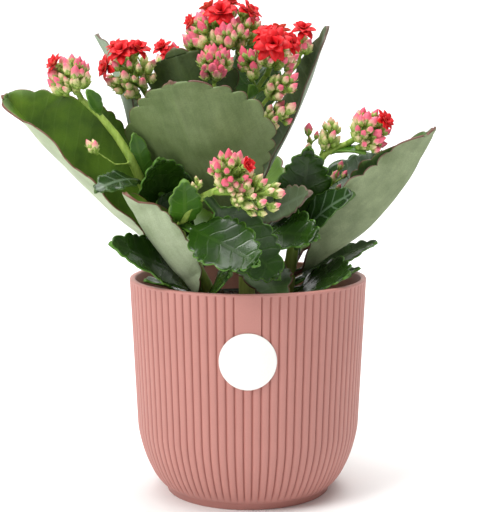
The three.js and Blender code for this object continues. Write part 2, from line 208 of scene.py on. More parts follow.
def deselect() -> None:
    """Leaves nothing selected, so that the next operator acts on its own piece alone."""
    if bpy.context.object is not None and bpy.context.object.mode != "OBJECT":
        bpy.ops.object.mode_set(mode="OBJECT")
    bpy.ops.object.select_all(action="DESELECT")


def make_active(piece: bpy.types.Object) -> None:
    """Selects one piece alone, for the next operator.

    Args:
        piece: the piece.
    """
    deselect()
    piece.select_set(True)
    bpy.context.view_layer.objects.active = piece


def apply_modifier(piece: bpy.types.Object, kind: str, **settings) -> None:
    """Adds a modifier to a piece and applies it.

    Args:
        piece: the piece to change.
        kind: the modifier's type.
        settings: the modifier's properties.
    """
    make_active(piece)
    modifier = piece.modifiers.new(kind.lower(), kind)
    for name, value in settings.items():
        setattr(modifier, name, value)
    bpy.ops.object.modifier_apply(modifier=modifier.name)


def grid_piece(name: str, along: int, across: int) -> tuple[bpy.types.Object, np.ndarray,
                                                            np.ndarray]:
    """Adds a flat grid to be shaped.

    Args:
        name: the piece's name.
        along: faces along the grid.
        across: faces across it.

    Returns:
        The piece, and each point's share along from 0 to 1 and across from -1 to 1.
    """
    deselect()
    bpy.ops.mesh.primitive_grid_add(x_subdivisions=along, y_subdivisions=across, size=2)
    piece = bpy.context.object
    piece.name = name
    points = vertices_of(piece)
    return piece, (points[:, 0] + 1) / 2, points[:, 1]


def vertices_of(piece: bpy.types.Object) -> np.ndarray:
    """Reads a piece's points.

    Args:
        piece: the piece.

    Returns:
        Rows of three numbers, in the mesh's own units.
    """
    flat = np.empty(len(piece.data.vertices) * 3)
    piece.data.vertices.foreach_get("co", flat)
    return flat.reshape(-1, 3)


def place_vertices(piece: bpy.types.Object, points_mm: np.ndarray) -> None:
    """Moves a piece's points.

    Args:
        piece: the piece.
        points_mm: where each goes, in millimetres.
    """
    piece.data.vertices.foreach_set("co", (points_mm * MM).ravel())
    piece.data.update()


def write_attribute(piece: bpy.types.Object, name: str, values: np.ndarray) -> None:
    """Keeps one number for each point of a piece, for its material to read.

    Args:
        piece: the piece.
        name: the attribute's name.
        values: the numbers.
    """
    kept = piece.data.attributes.get(name) or piece.data.attributes.new(name, "FLOAT", "POINT")
    kept.data.foreach_set("value", values.astype(np.float32))


def write_uv(piece: bpy.types.Object, u: np.ndarray, v: np.ndarray) -> None:
    """Gives a piece one UV map.

    Args:
        piece: the piece.
        u: each point's first number.
        v: each point's second number.
    """
    mesh = piece.data
    layer = mesh.uv_layers.active or mesh.uv_layers.new(name="UVMap")
    corners = np.empty(len(mesh.loops), np.int32)
    mesh.loops.foreach_get("vertex_index", corners)
    layer.data.foreach_set("uv", np.stack([u, v], 1)[corners].astype(np.float32).ravel())


def mesh_piece(name: str, points_mm: np.ndarray, faces: list, materials: list,
               slots: np.ndarray | None = None,
               **attributes: np.ndarray) -> bpy.types.Object:
    """Makes a smooth-shaded piece from points and faces.

    Args:
        name: the piece's name.
        points_mm: its points, in millimetres.
        faces: the point numbers of each face, in order.
        materials: its materials.
        slots: for each face, the number of its material.
        attributes: for each name, one number for each point.

    Returns:
        The piece.
    """
    mesh = bpy.data.meshes.new(name)
    mesh.from_pydata((points_mm * MM).tolist(), [], faces)
    piece = add_object(name, mesh)
    for material in materials:
        mesh.materials.append(material)
    if slots is not None:
        mesh.polygons.foreach_set("material_index", slots.astype(np.int32))
    for key, values in attributes.items():
        write_attribute(piece, key, values)
    shade_smooth(piece)
    return piece


def shade_smooth(piece: bpy.types.Object, sharp_degrees: float | None = None) -> None:
    """Shades a piece smooth.

    Args:
        piece: the piece.
        sharp_degrees: the angle past which edges stay sharp; none do without it.
    """
    make_active(piece)
    if sharp_degrees is None:
        bpy.ops.object.shade_smooth()
    else:
        bpy.ops.object.shade_smooth_by_angle(angle=math.radians(sharp_degrees))


def face_outwards(piece: bpy.types.Object) -> None:
    """Merges a piece's doubled points and turns its faces outwards.

    Args:
        piece: the piece.
    """
    make_active(piece)
    bpy.ops.object.mode_set(mode="EDIT")
    bpy.ops.mesh.select_all(action="SELECT")
    bpy.ops.mesh.remove_doubles(threshold=DOUBLES)
    bpy.ops.mesh.normals_make_consistent(inside=False)
    bpy.ops.object.mode_set(mode="OBJECT")


def hand_in(piece: bpy.types.Object, slot: str, *nodes: str) -> bpy.types.Object:
    """Puts a finished piece on the body, hides the CAD nodes it stands for and logs its slot.

    Args:
        piece: the piece.
        slot: the record's material slot.
        nodes: the CAD nodes it replaces.

    Returns:
        The piece.
    """
    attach(piece, BODY)
    if nodes:
        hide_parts(*nodes)
    log.info("%s: %d faces, slot %s", piece.name, len(piece.data.polygons), slot)
    return piece


# ------------------------------------------------------------------ finishes


@dataclass(frozen=True)
class Finish:
    """A material's own start: its name, its gloss and how light bends in it."""

    name: str
    roughness: float
    ior: float

    def start(self) -> tuple[bpy.types.Material, bpy.types.NodeTree, bpy.types.Node]:
        """Makes the material with a Principled shader that carries the gloss and the IOR.

        Returns:
            The material, its node tree and the shader.
        """
        material = bpy.data.materials.new(self.name)
        material.use_nodes = True
        tree = material.node_tree
        shader = next(n for n in tree.nodes if n.type == "BSDF_PRINCIPLED")
        shader.inputs["Roughness"].default_value = self.roughness
        shader.inputs["IOR"].default_value = self.ior
        return material, tree, shader

    def dress(self, tree: bpy.types.NodeTree, shader: bpy.types.Node,
              colour: bpy.types.NodeSocket, height: bpy.types.NodeSocket | None = None,
              strength: float = 0.0, depth_mm: float = 0.0) -> None:
        """Feeds the shader its colour and, where there is a height, its fine relief.

        Args:
            tree: the material's node tree.
            shader: its Principled shader.
            colour: what gives the colour.
            height: what gives the relief.
            strength: how strongly the relief shows.
            depth_mm: how deep it is.
        """
        tree.links.new(colour, shader.inputs["Base Color"])
        if height is not None:
            bump = add_node(tree, "ShaderNodeBump",
                            {"Height": height, "Strength": strength, "Distance": depth_mm * MM})
            tree.links.new(bump.outputs[0], shader.inputs["Normal"])


@functools.cache
def material_of(finish: Finish) -> bpy.types.Material:
    """A finish's material, made once and shared by the pieces that wear it.

    Args:
        finish: the finish.

    Returns:
        The material.
    """
    return finish.material()


@dataclass(frozen=True)
class RibbedPlastic(Finish):
    """Moulded recycled polypropylene, matt: even dusty pink with fine grains, and painted shade that
    darkens the grooves.
    """

    crest: str = "#ba7f76"
    # painted shade: the darker tone the grooves are coloured with
    groove: str = "#97594f"
    grain_mm: float = 0.5
    mottle_mm: float = 22.0

    def material(self) -> bpy.types.Material:
        """Builds the material, which reads the groove attribute to paint shade into the grooves.

        Returns:
            The material.
        """
        material, tree, shader = self.start()
        place = add_node(tree, "ShaderNodeTexCoord").outputs["Object"]
        mottle = add_node(tree, "ShaderNodeTexNoise",
                          {"Vector": place, "Scale": scale_of(self.mottle_mm)})
        grain = add_node(tree, "ShaderNodeTexNoise",
                         {"Vector": place, "Scale": scale_of(self.grain_mm), "Detail": 3.0})
        # Painted shade: the groove share mixes in a darker tone where the grooves would lie in shade.
        depth = add_node(tree, "ShaderNodeAttribute", attribute_name="groove").outputs["Fac"]
        base = add_node(tree, "ShaderNodeMix",
                        {SHARE: depth, TONE_A: linear(self.crest),
                         TONE_B: linear(self.groove)}, data_type="RGBA")
        shade = add_node(tree, "ShaderNodeMapRange",
                         {"Value": mottle.outputs["Fac"], LOW_OUT: 0.95, HIGH_OUT: 1.05})
        fleck = add_node(tree, "ShaderNodeMapRange",
                         {"Value": grain.outputs["Fac"], LOW_IN: 0.3, HIGH_IN: 0.7, LOW_OUT: 0.97,
                          HIGH_OUT: 1.03})
        both = add_node(tree, "ShaderNodeMath", {0: shade.outputs[0], 1: fleck.outputs[0]},
                        operation="MULTIPLY")
        colour = add_node(tree, "ShaderNodeVectorMath",
                          {0: base.outputs[2], "Scale": both.outputs[0]}, operation="SCALE")
        self.dress(tree, shader, colour.outputs[0], grain.outputs["Fac"], 0.25, 0.05)
        return material


@dataclass(frozen=True)
class CoatedPaper(Finish):
    """White coated label paper: near flat white with the faint cloud of its fibres."""

    sheet: str = "#f7f6f3"
    shade: str = "#ecebe6"
    fibre_mm: float = 0.8

    def material(self) -> bpy.types.Material:
        """Builds the material on the object's own coordinates.

        Returns:
            The material.
        """
        material, tree, shader = self.start()
        place = add_node(tree, "ShaderNodeTexCoord").outputs["Object"]
        fibre = add_node(tree, "ShaderNodeTexNoise",
                         {"Vector": place, "Scale": scale_of(self.fibre_mm), "Detail": 4.0})
        cloud = add_node(tree, "ShaderNodeMix", {SHARE: fibre.outputs["Fac"],
                                                 TONE_A: linear(self.sheet),
                                                 TONE_B: linear(self.shade)}, data_type="RGBA")
        self.dress(tree, shader, cloud.outputs[2], fibre.outputs["Fac"], 0.2, 0.03)
        return material


@dataclass(frozen=True)
class BlackPlastic(Finish):
    """Thin moulded black polypropylene: satin, with turned lines and dust near its rim."""

    plastic: str = "#1d1c1b"
    dust: str = "#4a4038"
    line_mm: float = 1.4
    turns_per_line: float = 0.314
    dust_mm: float = 8.3333

    def material(self) -> bpy.types.Material:
        """Builds the material on the object's own coordinates.

        Returns:
            The material.
        """
        material, tree, shader = self.start()
        place = add_node(tree, "ShaderNodeTexCoord").outputs["Object"]
        lines = add_node(tree, "ShaderNodeTexWave",
                         {"Vector": place, "Scale": self.turns_per_line * scale_of(self.line_mm),
                                                     "Distortion": 0.6}, bands_direction="Z")
        dust = add_node(tree, "ShaderNodeTexNoise",
                        {"Vector": place, "Scale": scale_of(self.dust_mm), "Detail": 6.0})
        share = add_node(tree, "ShaderNodeMapRange",
                         {"Value": dust.outputs["Fac"], LOW_IN: 0.5, HIGH_IN: 0.75, HIGH_OUT: 0.6})
        colour = add_node(tree, "ShaderNodeMix", {SHARE: share.outputs[0],
                                                  TONE_A: linear(self.plastic),
                                                  TONE_B: linear(self.dust)}, data_type="RGBA")
        self.dress(tree, shader, colour.outputs[2], lines.outputs["Fac"], 0.3, 0.05)
        return material


@dataclass(frozen=True)
class PeatSoil(Finish):
    """Moist potting peat: nearly black crumbs with paler brown fibres."""

    dark: str = "#1c140f"
    brown: str = "#4a3527"
    crumb_mm: float = 2.2
    fibre_mm: float = 1.1111

    def material(self) -> bpy.types.Material:
        """Builds the material on the object's own coordinates.

        Returns:
            The material.
        """
        material, tree, shader = self.start()
        place = add_node(tree, "ShaderNodeTexCoord").outputs["Object"]
        clods = add_node(tree, "ShaderNodeTexVoronoi",
                         {"Vector": place, "Scale": scale_of(self.crumb_mm)})
        fine = add_node(tree, "ShaderNodeTexNoise",
                        {"Vector": place, "Scale": scale_of(self.fibre_mm), "Detail": 6.0})
        tone = add_node(tree, "ShaderNodeMix", {SHARE: fine.outputs["Fac"],
                                                TONE_A: linear(self.dark),
                                                TONE_B: linear(self.brown)}, data_type="RGBA")
        rough = add_node(tree, "ShaderNodeMath", {0: clods.outputs["Distance"],
                                                  1: fine.outputs["Fac"]})
        self.dress(tree, shader, tone.outputs[2], rough.outputs[0], 0.8, 0.6)
        return material


@dataclass(frozen=True)
class GreenStem(Finish):
    """A succulent stem's skin: smooth light green, finely streaked, browner by the soil."""

    green: str = "#a3bb55"
    shade: str = "#7f9c3e"
    foot: str = "#6d6a3a"
    streak_mm: float = 1.6
    foot_low: float = 0.112
    foot_high: float = 0.15

    def material(self) -> bpy.types.Material:
        """Builds the material; its streaks are the noise drawn out along Z.

        Returns:
            The material.
        """
        material, tree, shader = self.start()
        place = add_node(tree, "ShaderNodeTexCoord").outputs["Object"]
        drawn = add_node(tree, "ShaderNodeVectorMath", {0: place, 1: (1.0, 1.0, 0.12)},
                         operation="MULTIPLY")
        streak = add_node(tree, "ShaderNodeTexNoise",
                          {"Vector": drawn.outputs[0], "Scale": scale_of(self.streak_mm),
                           "Detail": 4.0})
        share = add_node(tree, "ShaderNodeMapRange",
                         {"Value": streak.outputs["Fac"], LOW_IN: 0.35, HIGH_IN: 0.68})
        skin = add_node(tree, "ShaderNodeMix", {SHARE: share.outputs[0], TONE_A: linear(self.green),
                                                TONE_B: linear(self.shade)}, data_type="RGBA")
        height = add_node(tree, "ShaderNodeSeparateXYZ", {0: place}).outputs["Z"]
        low = add_node(tree, "ShaderNodeMapRange",
                       {"Value": height, LOW_IN: self.foot_low, HIGH_IN: self.foot_high,
                        LOW_OUT: 0.8, HIGH_OUT: 0.0})
        colour = add_node(tree, "ShaderNodeMix", {SHARE: low.outputs[0], TONE_A: skin.outputs[2],
                                                  TONE_B: linear(self.foot)}, data_type="RGBA")
        self.dress(tree, shader, colour.outputs[2], streak.outputs["Fac"], 0.3, 0.15)
        return material


@dataclass(frozen=True)
class LeafSkin(Finish):
    """One side of a succulent leaf: mottled green with side veins that run out from the midrib."""

    main: str = "#3c5c1e"
    second: str = "#2c4714"
    vein: str = "#6d8f3c"
    margin: str = "#7c4a3c"
    margin_mm: float = 0.9
    vein_share: float = 0.5
    vein_pitch_mm: float = 9.0
    vein_relief: float = 0.25
    streaks: float = 0.0
    grain_mm: float = 0.6
    wander_mm: float = 16.6667
    cloud_mm: float = 14.2857
    streak_mm: float = 2.38095

    def material(self) -> bpy.types.Material:
        """Builds the material; UV is in metres along and across the blade, edge in millimetres.

        Returns:
            The material.
        """
        material, tree, shader = self.start()
        place = add_node(tree, "ShaderNodeTexCoord")
        split = add_node(tree, "ShaderNodeSeparateXYZ", {0: place.outputs["UV"]})
        off = add_node(tree, "ShaderNodeMath", {0: split.outputs["Y"]},
                       operation="ABSOLUTE").outputs[0]
        wander = add_node(tree, "ShaderNodeTexNoise",
                          {"Vector": place.outputs["UV"], "Scale": scale_of(self.wander_mm),
                           "Detail": 2.0})
        lean = add_node(tree, "ShaderNodeMath", {0: off, 1: -VEIN_LEAN, 2: split.outputs["X"]},
                        operation="MULTIPLY_ADD")
        bent = add_node(tree, "ShaderNodeMath", {0: wander.outputs["Fac"], 1: 6.0 * MM,
                                                 2: lean.outputs[0]},
                        operation="MULTIPLY_ADD")
        cycle = add_node(tree, "ShaderNodeMath", {0: bent.outputs[0],
                                                  1: self.vein_pitch_mm * MM / 2},
                         operation="PINGPONG")
        side = add_node(tree, "ShaderNodeMapRange",
                        {"Value": cycle.outputs[0], LOW_IN: 0.0, HIGH_IN: 0.9 * MM, LOW_OUT: 1.0,
                         HIGH_OUT: 0.0})
        rib = add_node(tree, "ShaderNodeMapRange",
                       {"Value": off, LOW_IN: 0.5 * MM, HIGH_IN: 1.5 * MM, LOW_OUT: 1.0,
                        HIGH_OUT: 0.0})
        veins = add_node(tree, "ShaderNodeMath", {0: side.outputs[0], 1: rib.outputs[0]},
                         operation="MAXIMUM")

        cloud = add_node(tree, "ShaderNodeTexNoise",
                         {"Vector": place.outputs["Object"], "Scale": scale_of(self.cloud_mm),
                          "Detail": 3.0})
        patch = add_node(tree, "ShaderNodeMapRange",
                         {"Value": cloud.outputs["Fac"], LOW_IN: 0.35, HIGH_IN: 0.65})
        base = add_node(tree, "ShaderNodeMix", {SHARE: patch.outputs[0], TONE_A: linear(self.main),
                                                TONE_B: linear(self.second)}, data_type="RGBA")
        drawn = add_node(tree, "ShaderNodeVectorMath",
                         {0: place.outputs["UV"], 1: (0.12, 1.0, 1.0)},
                         operation="MULTIPLY")
        streak = add_node(tree, "ShaderNodeTexNoise",
                          {"Vector": drawn.outputs[0], "Scale": scale_of(self.streak_mm),
                           "Detail": 4.0})
        grain = add_node(tree, "ShaderNodeTexNoise", {"Vector": place.outputs["Object"],
                         "Scale": scale_of(self.grain_mm), "Detail": 2.0})
        lines = add_node(tree, "ShaderNodeMapRange",
                         {"Value": streak.outputs["Fac"], LOW_IN: 0.3, HIGH_IN: 0.7,
                         LOW_OUT: 1 - self.streaks, HIGH_OUT: 1 + self.streaks})
        specks = add_node(tree, "ShaderNodeMapRange",
                          {"Value": grain.outputs["Fac"], LOW_IN: 0.3, HIGH_IN: 0.7,
                                                       LOW_OUT: 0.9, HIGH_OUT: 1.1})
        shade = add_node(tree, "ShaderNodeMath", {0: lines.outputs[0], 1: specks.outputs[0]},
                         operation="MULTIPLY")
        toned = add_node(tree, "ShaderNodeVectorMath",
                         {0: base.outputs[2], "Scale": shade.outputs[0]},
                         operation="SCALE")
        seen = add_node(tree, "ShaderNodeMath", {0: veins.outputs[0], 1: self.vein_share},
                        operation="MULTIPLY")
        veined = add_node(tree, "ShaderNodeMix", {SHARE: seen.outputs[0], TONE_A: toned.outputs[0],
                                                  TONE_B: linear(self.vein)}, data_type="RGBA")
        edge = add_node(tree, "ShaderNodeAttribute", attribute_name="edge").outputs["Fac"]
        rim = add_node(tree, "ShaderNodeMapRange",
                       {"Value": edge, LOW_IN: self.margin_mm * 0.4, HIGH_IN: self.margin_mm * 1.4,
                                                    LOW_OUT: 0.9, HIGH_OUT: 0.0})
        colour = add_node(tree, "ShaderNodeMix", {SHARE: rim.outputs[0], TONE_A: veined.outputs[2],
                                                  TONE_B: linear(self.margin)}, data_type="RGBA")

        sunk = add_node(tree, "ShaderNodeMath", {0: veins.outputs[0], 1: self.vein_relief},
                        operation="MULTIPLY")
        relief = add_node(tree, "ShaderNodeMath", {0: grain.outputs["Fac"], 1: 0.25,
                                                   2: sunk.outputs[0]},
                          operation="MULTIPLY_ADD")
        waved = add_node(tree, "ShaderNodeMath", {0: cloud.outputs["Fac"], 1: 1.5,
                                                  2: relief.outputs[0]},
                         operation="MULTIPLY_ADD")
        self.dress(tree, shader, colour.outputs[2], waved.outputs[0], 0.5, 0.35)
        gloss = add_node(tree, "ShaderNodeMapRange",
                         {"Value": cloud.outputs["Fac"], LOW_IN: 0.3, HIGH_IN: 0.7,
                         LOW_OUT: self.roughness - 0.06, HIGH_OUT: self.roughness + 0.08})
        tree.links.new(gloss.outputs[0], shader.inputs["Roughness"])
        return material


@dataclass(frozen=True)
class BudSkin(Finish):
    """A closed bud: cream-green at its foot and pink at its tip, each bud a little different."""

    foot: str = "#b3c46c"
    cream: str = "#e9cfa6"
    pink: str = "#ea7389"
    tip: str = "#df4a66"
    mottle_mm: float = 2.0

    def material(self) -> bpy.types.Material:
        """Builds the material, which reads how ripe each place on a bud is.

        Returns:
            The material.
        """
        material, tree, shader = self.start()
        ripe = add_node(tree, "ShaderNodeAttribute", attribute_name="ripe").outputs["Fac"]
        place = add_node(tree, "ShaderNodeTexCoord").outputs["Object"]
        vary = add_node(tree, "ShaderNodeTexNoise",
                        {"Vector": place, "Scale": scale_of(self.mottle_mm), "Detail": 2.0})
        level = add_node(tree, "ShaderNodeMath", {0: vary.outputs["Fac"], 1: 0.24, 2: ripe},
                         operation="MULTIPLY_ADD")
        ramp = add_node(tree, "ShaderNodeValToRGB", {0: level.outputs[0]})
        stops = ramp.color_ramp.elements
        stops[0].position, stops[0].color = 0.16, linear(self.foot)
        stops[1].position, stops[1].color = 1.0, linear(self.tip)
        middle = stops.new(0.36)
        middle.color = linear(self.cream)
        flushed = stops.new(0.56)
        flushed.color = linear(self.pink)
        self.dress(tree, shader, ramp.outputs[0], vary.outputs["Fac"], 0.3, 0.2)
        return material


@dataclass(frozen=True)
class PetalSkin(Finish):
    """One side of a petal: soft, saturated colour, a shade deeper towards its foot."""

    main: str = "#d81019"
    deep: str = "#9c0710"
    mottle_mm: float = 2.0

    def material(self) -> bpy.types.Material:
        """Builds the material, which reads the share along each petal.

        Returns:
            The material.
        """
        material, tree, shader = self.start()
        along = add_node(tree, "ShaderNodeAttribute", attribute_name="ripe").outputs["Fac"]
        place = add_node(tree, "ShaderNodeTexCoord").outputs["Object"]
        vary = add_node(tree, "ShaderNodeTexNoise",
                        {"Vector": place, "Scale": scale_of(self.mottle_mm), "Detail": 3.0})
        share = add_node(tree, "ShaderNodeMath", {0: vary.outputs["Fac"], 1: 0.5, 2: along},
                         operation="MULTIPLY_ADD")
        fade = add_node(tree, "ShaderNodeMapRange",
                        {"Value": share.outputs[0], LOW_IN: 0.15, HIGH_IN: 0.8})
        colour = add_node(tree, "ShaderNodeMix", {SHARE: fade.outputs[0], TONE_A: linear(self.deep),
                                                  TONE_B: linear(self.main)}, data_type="RGBA")
        self.dress(tree, shader, colour.outputs[2], vary.outputs["Fac"], 0.4, 0.2)
        return material


@dataclass(frozen=True)
class YoungGreen(Finish):
    """Sepals and flower stalks: fresh yellow-green, paler at their tips."""

    green: str = "#7d9d38"
    pale: str = "#b4c274"
    mottle_mm: float = 3.84615

    def material(self) -> bpy.types.Material:
        """Builds the material, which reads the share along each sepal or stalk.

        Returns:
            The material.
        """
        material, tree, shader = self.start()
        along = add_node(tree, "ShaderNodeAttribute", attribute_name="ripe").outputs["Fac"]
        place = add_node(tree, "ShaderNodeTexCoord").outputs["Object"]
        vary = add_node(tree, "ShaderNodeTexNoise",
                        {"Vector": place, "Scale": scale_of(self.mottle_mm), "Detail": 3.0})
        level = add_node(tree, "ShaderNodeMath", {0: vary.outputs["Fac"], 1: along},
                         operation="MULTIPLY")
        colour = add_node(tree, "ShaderNodeMix", {SHARE: level.outputs[0],
                                                  TONE_A: linear(self.green),
                                                  TONE_B: linear(self.pale)}, data_type="RGBA")
        self.dress(tree, shader, colour.outputs[2])
        return material


@dataclass(frozen=True)
class StudioPaper(Finish):
    """The white paper sweep the pot stands on."""

    paper: str = "#f6f6f5"
    shade: str = "#f3f3f2"
    cloud_mm: float = 333.333

    def material(self) -> bpy.types.Material:
        """Builds the material with a very faint grain.

        Returns:
            The material.
        """
        material, tree, shader = self.start()
        place = add_node(tree, "ShaderNodeTexCoord").outputs["Object"]
        vary = add_node(tree, "ShaderNodeTexNoise",
                        {"Vector": place, "Scale": scale_of(self.cloud_mm)})
        colour = add_node(tree, "ShaderNodeMix", {SHARE: vary.outputs["Fac"],
                                                  TONE_A: linear(self.paper),
                                                  TONE_B: linear(self.shade)}, data_type="RGBA")
        self.dress(tree, shader, colour.outputs[2])
        return material


# ------------------------------------------------------------------ cover pot and label


@dataclass
class CoverPot:
    """The ribbed cover pot: a straight side over a round base on a low foot."""

    node: str = "cover_pot"
    taper: float = 4.0
    shoulder_height: float = 42.0
    heel_inset: float = 20.5
    foot_height: float = 4.2
    foot_inset: float = 1.0
    base_fullness: float = 1.5
    wall: float = 3.4
    floor: float = 3.0
    ribs: int = 86
    rib_depth: float = 0.9
    crown: float = 0.42
    lip: float = 1.1
    panel_ribs: float = 3.0
    panel_drop: float = 44.0
    base_rings: int = 22

    groove_start = 0.56  # the share of the way from a crest to a groove's middle
    groove_power = 1.5
    lip_fade = 0.9
    foot_fade = 5.0
    fade_gap = 0.6
    phases = (0.0, 0.08, 0.16, 0.26, 0.38, 0.5, 0.62, 0.74, 0.84, 0.92)  # columns over one rib

    def __post_init__(self) -> None:
        """Reads the pot's height and rim from its CAD node."""
        low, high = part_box(self.node)
        self.height = high.z / MM
        self.rim = (high.x - low.x) / 2 / MM

    def radius(self, z: float) -> float:
        """The outer radius over the ribs.

        Args:
            z: the height, in millimetres.

        Returns:
            The radius, in millimetres.
        """
        shoulder = self.rim - self.taper
        heel = self.rim - self.heel_inset
        if z >= self.shoulder_height:
            return shoulder + self.taper * (z - self.shoulder_height) / (
                self.height - self.shoulder_height)
        drop = (self.shoulder_height - z) / (self.shoulder_height - self.foot_height)
        share = max(0.0, 1 - drop**self.base_fullness) ** (1 / self.base_fullness)
        return heel + share * (shoulder - heel)

    def rib_profile(self, turns: np.ndarray, z: float) -> np.ndarray:
        """How far each column lies inside the crests, for the ribs at a height.

        Args:
            turns: the columns' angles, from the front.
            z: the height.

        Returns:
            The depth of each column and how much of it is groove, from 0 to 1; the material paints
            shade into the grooves by that share.
        """
        phase = turns / (2 * math.pi) * self.ribs + 0.5
        off = np.abs(phase - np.floor(phase) - 0.5) * 2  # 0 on the crest, 1 in the groove
        cut = np.clip((off - self.groove_start) / (1 - self.groove_start), 0,
                      1) ** self.groove_power
        round_off = self.crown * off**2
        half_panel = self.panel_ribs / 2 / self.ribs * 2 * math.pi
        from_front = np.abs((turns + math.pi) % (2 * math.pi) - math.pi)
        on_panel = (from_front < half_panel) & (z > self.height - self.panel_drop)
        fade = np.clip((self.height - self.lip - z) / self.lip_fade, 0, 1)
        fade = fade * np.clip((z - self.foot_height - self.fade_gap) / self.foot_fade, 0, 1)
        cut = np.where(on_panel, 0, cut) * fade
        return cut * (self.rib_depth - self.crown) + np.where(on_panel, 0, round_off) * fade, cut

    def heights(self) -> list[float]:
        """The heights of the outside's rings, closer where it curves.

        Returns:
            The heights from the foot up, in millimetres.
        """
        lowest = self.foot_height + 0.8
        turns = [i / self.base_rings * math.pi / 2 for i in range(self.base_rings + 1)]
        base = [lowest + (self.shoulder_height - lowest) * (1 - math.cos(turn)) for turn in turns]
        top = self.height - self.lip
        panel = self.height - self.panel_drop
        side = [panel - 18, panel - 0.4, panel, panel + 0.4, panel + 20, top - 0.9, top - 0.4, top]
        return base + side

    def outline(self) -> list[tuple[float, float, float | None]]:
        """The pot's outline, from its underside over the outside and the rim to its inside.

        Returns:
            Each ring's radius and height in millimetres, and the height at which its ribs are
            read, or None where it is plain.
        """
        heel = self.rim - self.heel_inset
        foot = heel - self.foot_inset
        plain = [(foot - 7, 1.6), (foot - 5.6, 1.2), (foot - 4.6, 0.3), (foot - 4.0, 0.0),
                 (foot - 0.7, 0.0),
                 (foot, 0.5), (foot + 0.9, self.foot_height - 0.4), (foot + 1.6, self.foot_height),
                 (heel + 0.6, self.foot_height + 0.1)]
        rings = [(r, z, None) for r, z in plain]
        rings += [(self.radius(z), z, z) for z in self.heights()]
        rings += [(self.rim - 0.02, self.height - 0.9, None),
                  (self.rim - 0.25, self.height - 0.3, None),
                  (self.rim - 0.9, self.height, None), (self.rim - self.wall + 0.9, self.height,
                                                        None),
                  (self.rim - self.wall + 0.25, self.height - 0.3, None),
                  (self.rim - self.wall, self.height - 1, None)]
        for share in (0.8, 0.6, 0.4, 0.2, 0.0):
            z = self.shoulder_height + share * (self.height - self.shoulder_height)
            rings.append((self.radius(z) - self.wall, z, None))
        for step in range(1, 10):
            drop = self.shoulder_height - self.floor
            z = self.shoulder_height - drop * math.sin(step / 9 * math.pi / 2)
            rings.append((self.radius(max(z, self.foot_height)) - self.wall - 2 * (step == 9), z,
                          None))
        rings.append((20.0, self.floor, None))
        return rings

    def build(self) -> bpy.types.Object:
        """Builds the pot as one closed shell and dresses it.

        Returns:
            The piece.
        """
        turns = np.arange(self.ribs)[:, None] + np.array(self.phases)[None] - 0.5
        turns = (turns / self.ribs * 2 * math.pi).ravel()
        rings = self.outline()
        points, grooves = [], []
        for radius, z, ribbed in rings:
            depth, cut = self.rib_profile(turns, ribbed) if ribbed is not None else (0 * turns,
                    0 * turns)
            r = radius - depth
            points.append(np.stack([r * np.sin(turns), -r * np.cos(turns), np.full_like(turns, z)],
                                   1))
            # each point's groove share, which the material uses to paint shade into the grooves
            grooves.append(cut)
        points.append(np.array([[0, 0, self.floor], [0, 0, 1.6]]))
        grooves.append(np.zeros(2))
        columns = len(turns)
        faces = ring_faces(len(rings), columns)[:-2]
        top_hub, under_hub = len(rings) * columns, len(rings) * columns + 1
        last = (len(rings) - 1) * columns
        for j in range(columns):
            k = (j + 1) % columns
            faces.append((last + j, last + k, top_hub))
            faces.append((k, j, under_hub))
        finish = RibbedPlastic("matt_moulded_polypropylene", roughness=0.52, ior=1.49)
        # The groove share goes to the material, which paints shade into the grooves by it.
        piece = mesh_piece("cover_pot_ribbed", np.concatenate(points), faces, [finish.material()],
                           groove=np.concatenate(grooves))
        shade_smooth(piece, 50)
        return hand_in(piece, "cover_pot", self.node)


@dataclass
class RoundLabel:
    """The blank round paper label that lies on the pot's smooth panel."""

    pot: CoverPot
    node: str = "pot_label"
    sheet: float = 0.45
    gap: float = 0.3
    edge: float = 0.16
    rings: int = 12
    sides: int = 96

    def build(self) -> bpy.types.Object:
        """Builds the label as a thin bent disc with a soft edge and dresses it.

        Returns:
            The piece.
        """
        low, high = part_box(self.node)
        centre = (low.z + high.z) / 2 / MM
        radius = (high.z - low.z) / 2 / MM
        turns = np.arange(self.sides) / self.sides * 2 * math.pi
        shells = [(share * radius, self.gap) for share in np.linspace(0.02, 1, self.rings)]
        shells += [(radius, self.gap + self.sheet - self.edge),
                   (radius - self.edge, self.gap + self.sheet)]
        shells += [(share * (radius - 0.6), self.gap + self.sheet)
                   for share in np.linspace(1, 0.02, self.rings)]
        points = []
        for r, lift in shells:
            x, z = r * np.sin(turns), centre + r * np.cos(turns)
            around = np.array([self.pot.radius(value) for value in z]) + lift
            points.append(np.stack([x, -np.sqrt(around**2 - x**2), z], 1))
        faces = ring_faces(len(shells), self.sides)
        finish = CoatedPaper("coated_label_paper", roughness=0.42, ior=1.5)
        piece = mesh_piece("pot_label_round", np.concatenate(points), faces, [finish.material()])
        face_outwards(piece)
        shade_smooth(piece, 40)
        return hand_in(piece, "label", self.node)


# ------------------------------------------------------------------ nursery pot and soil


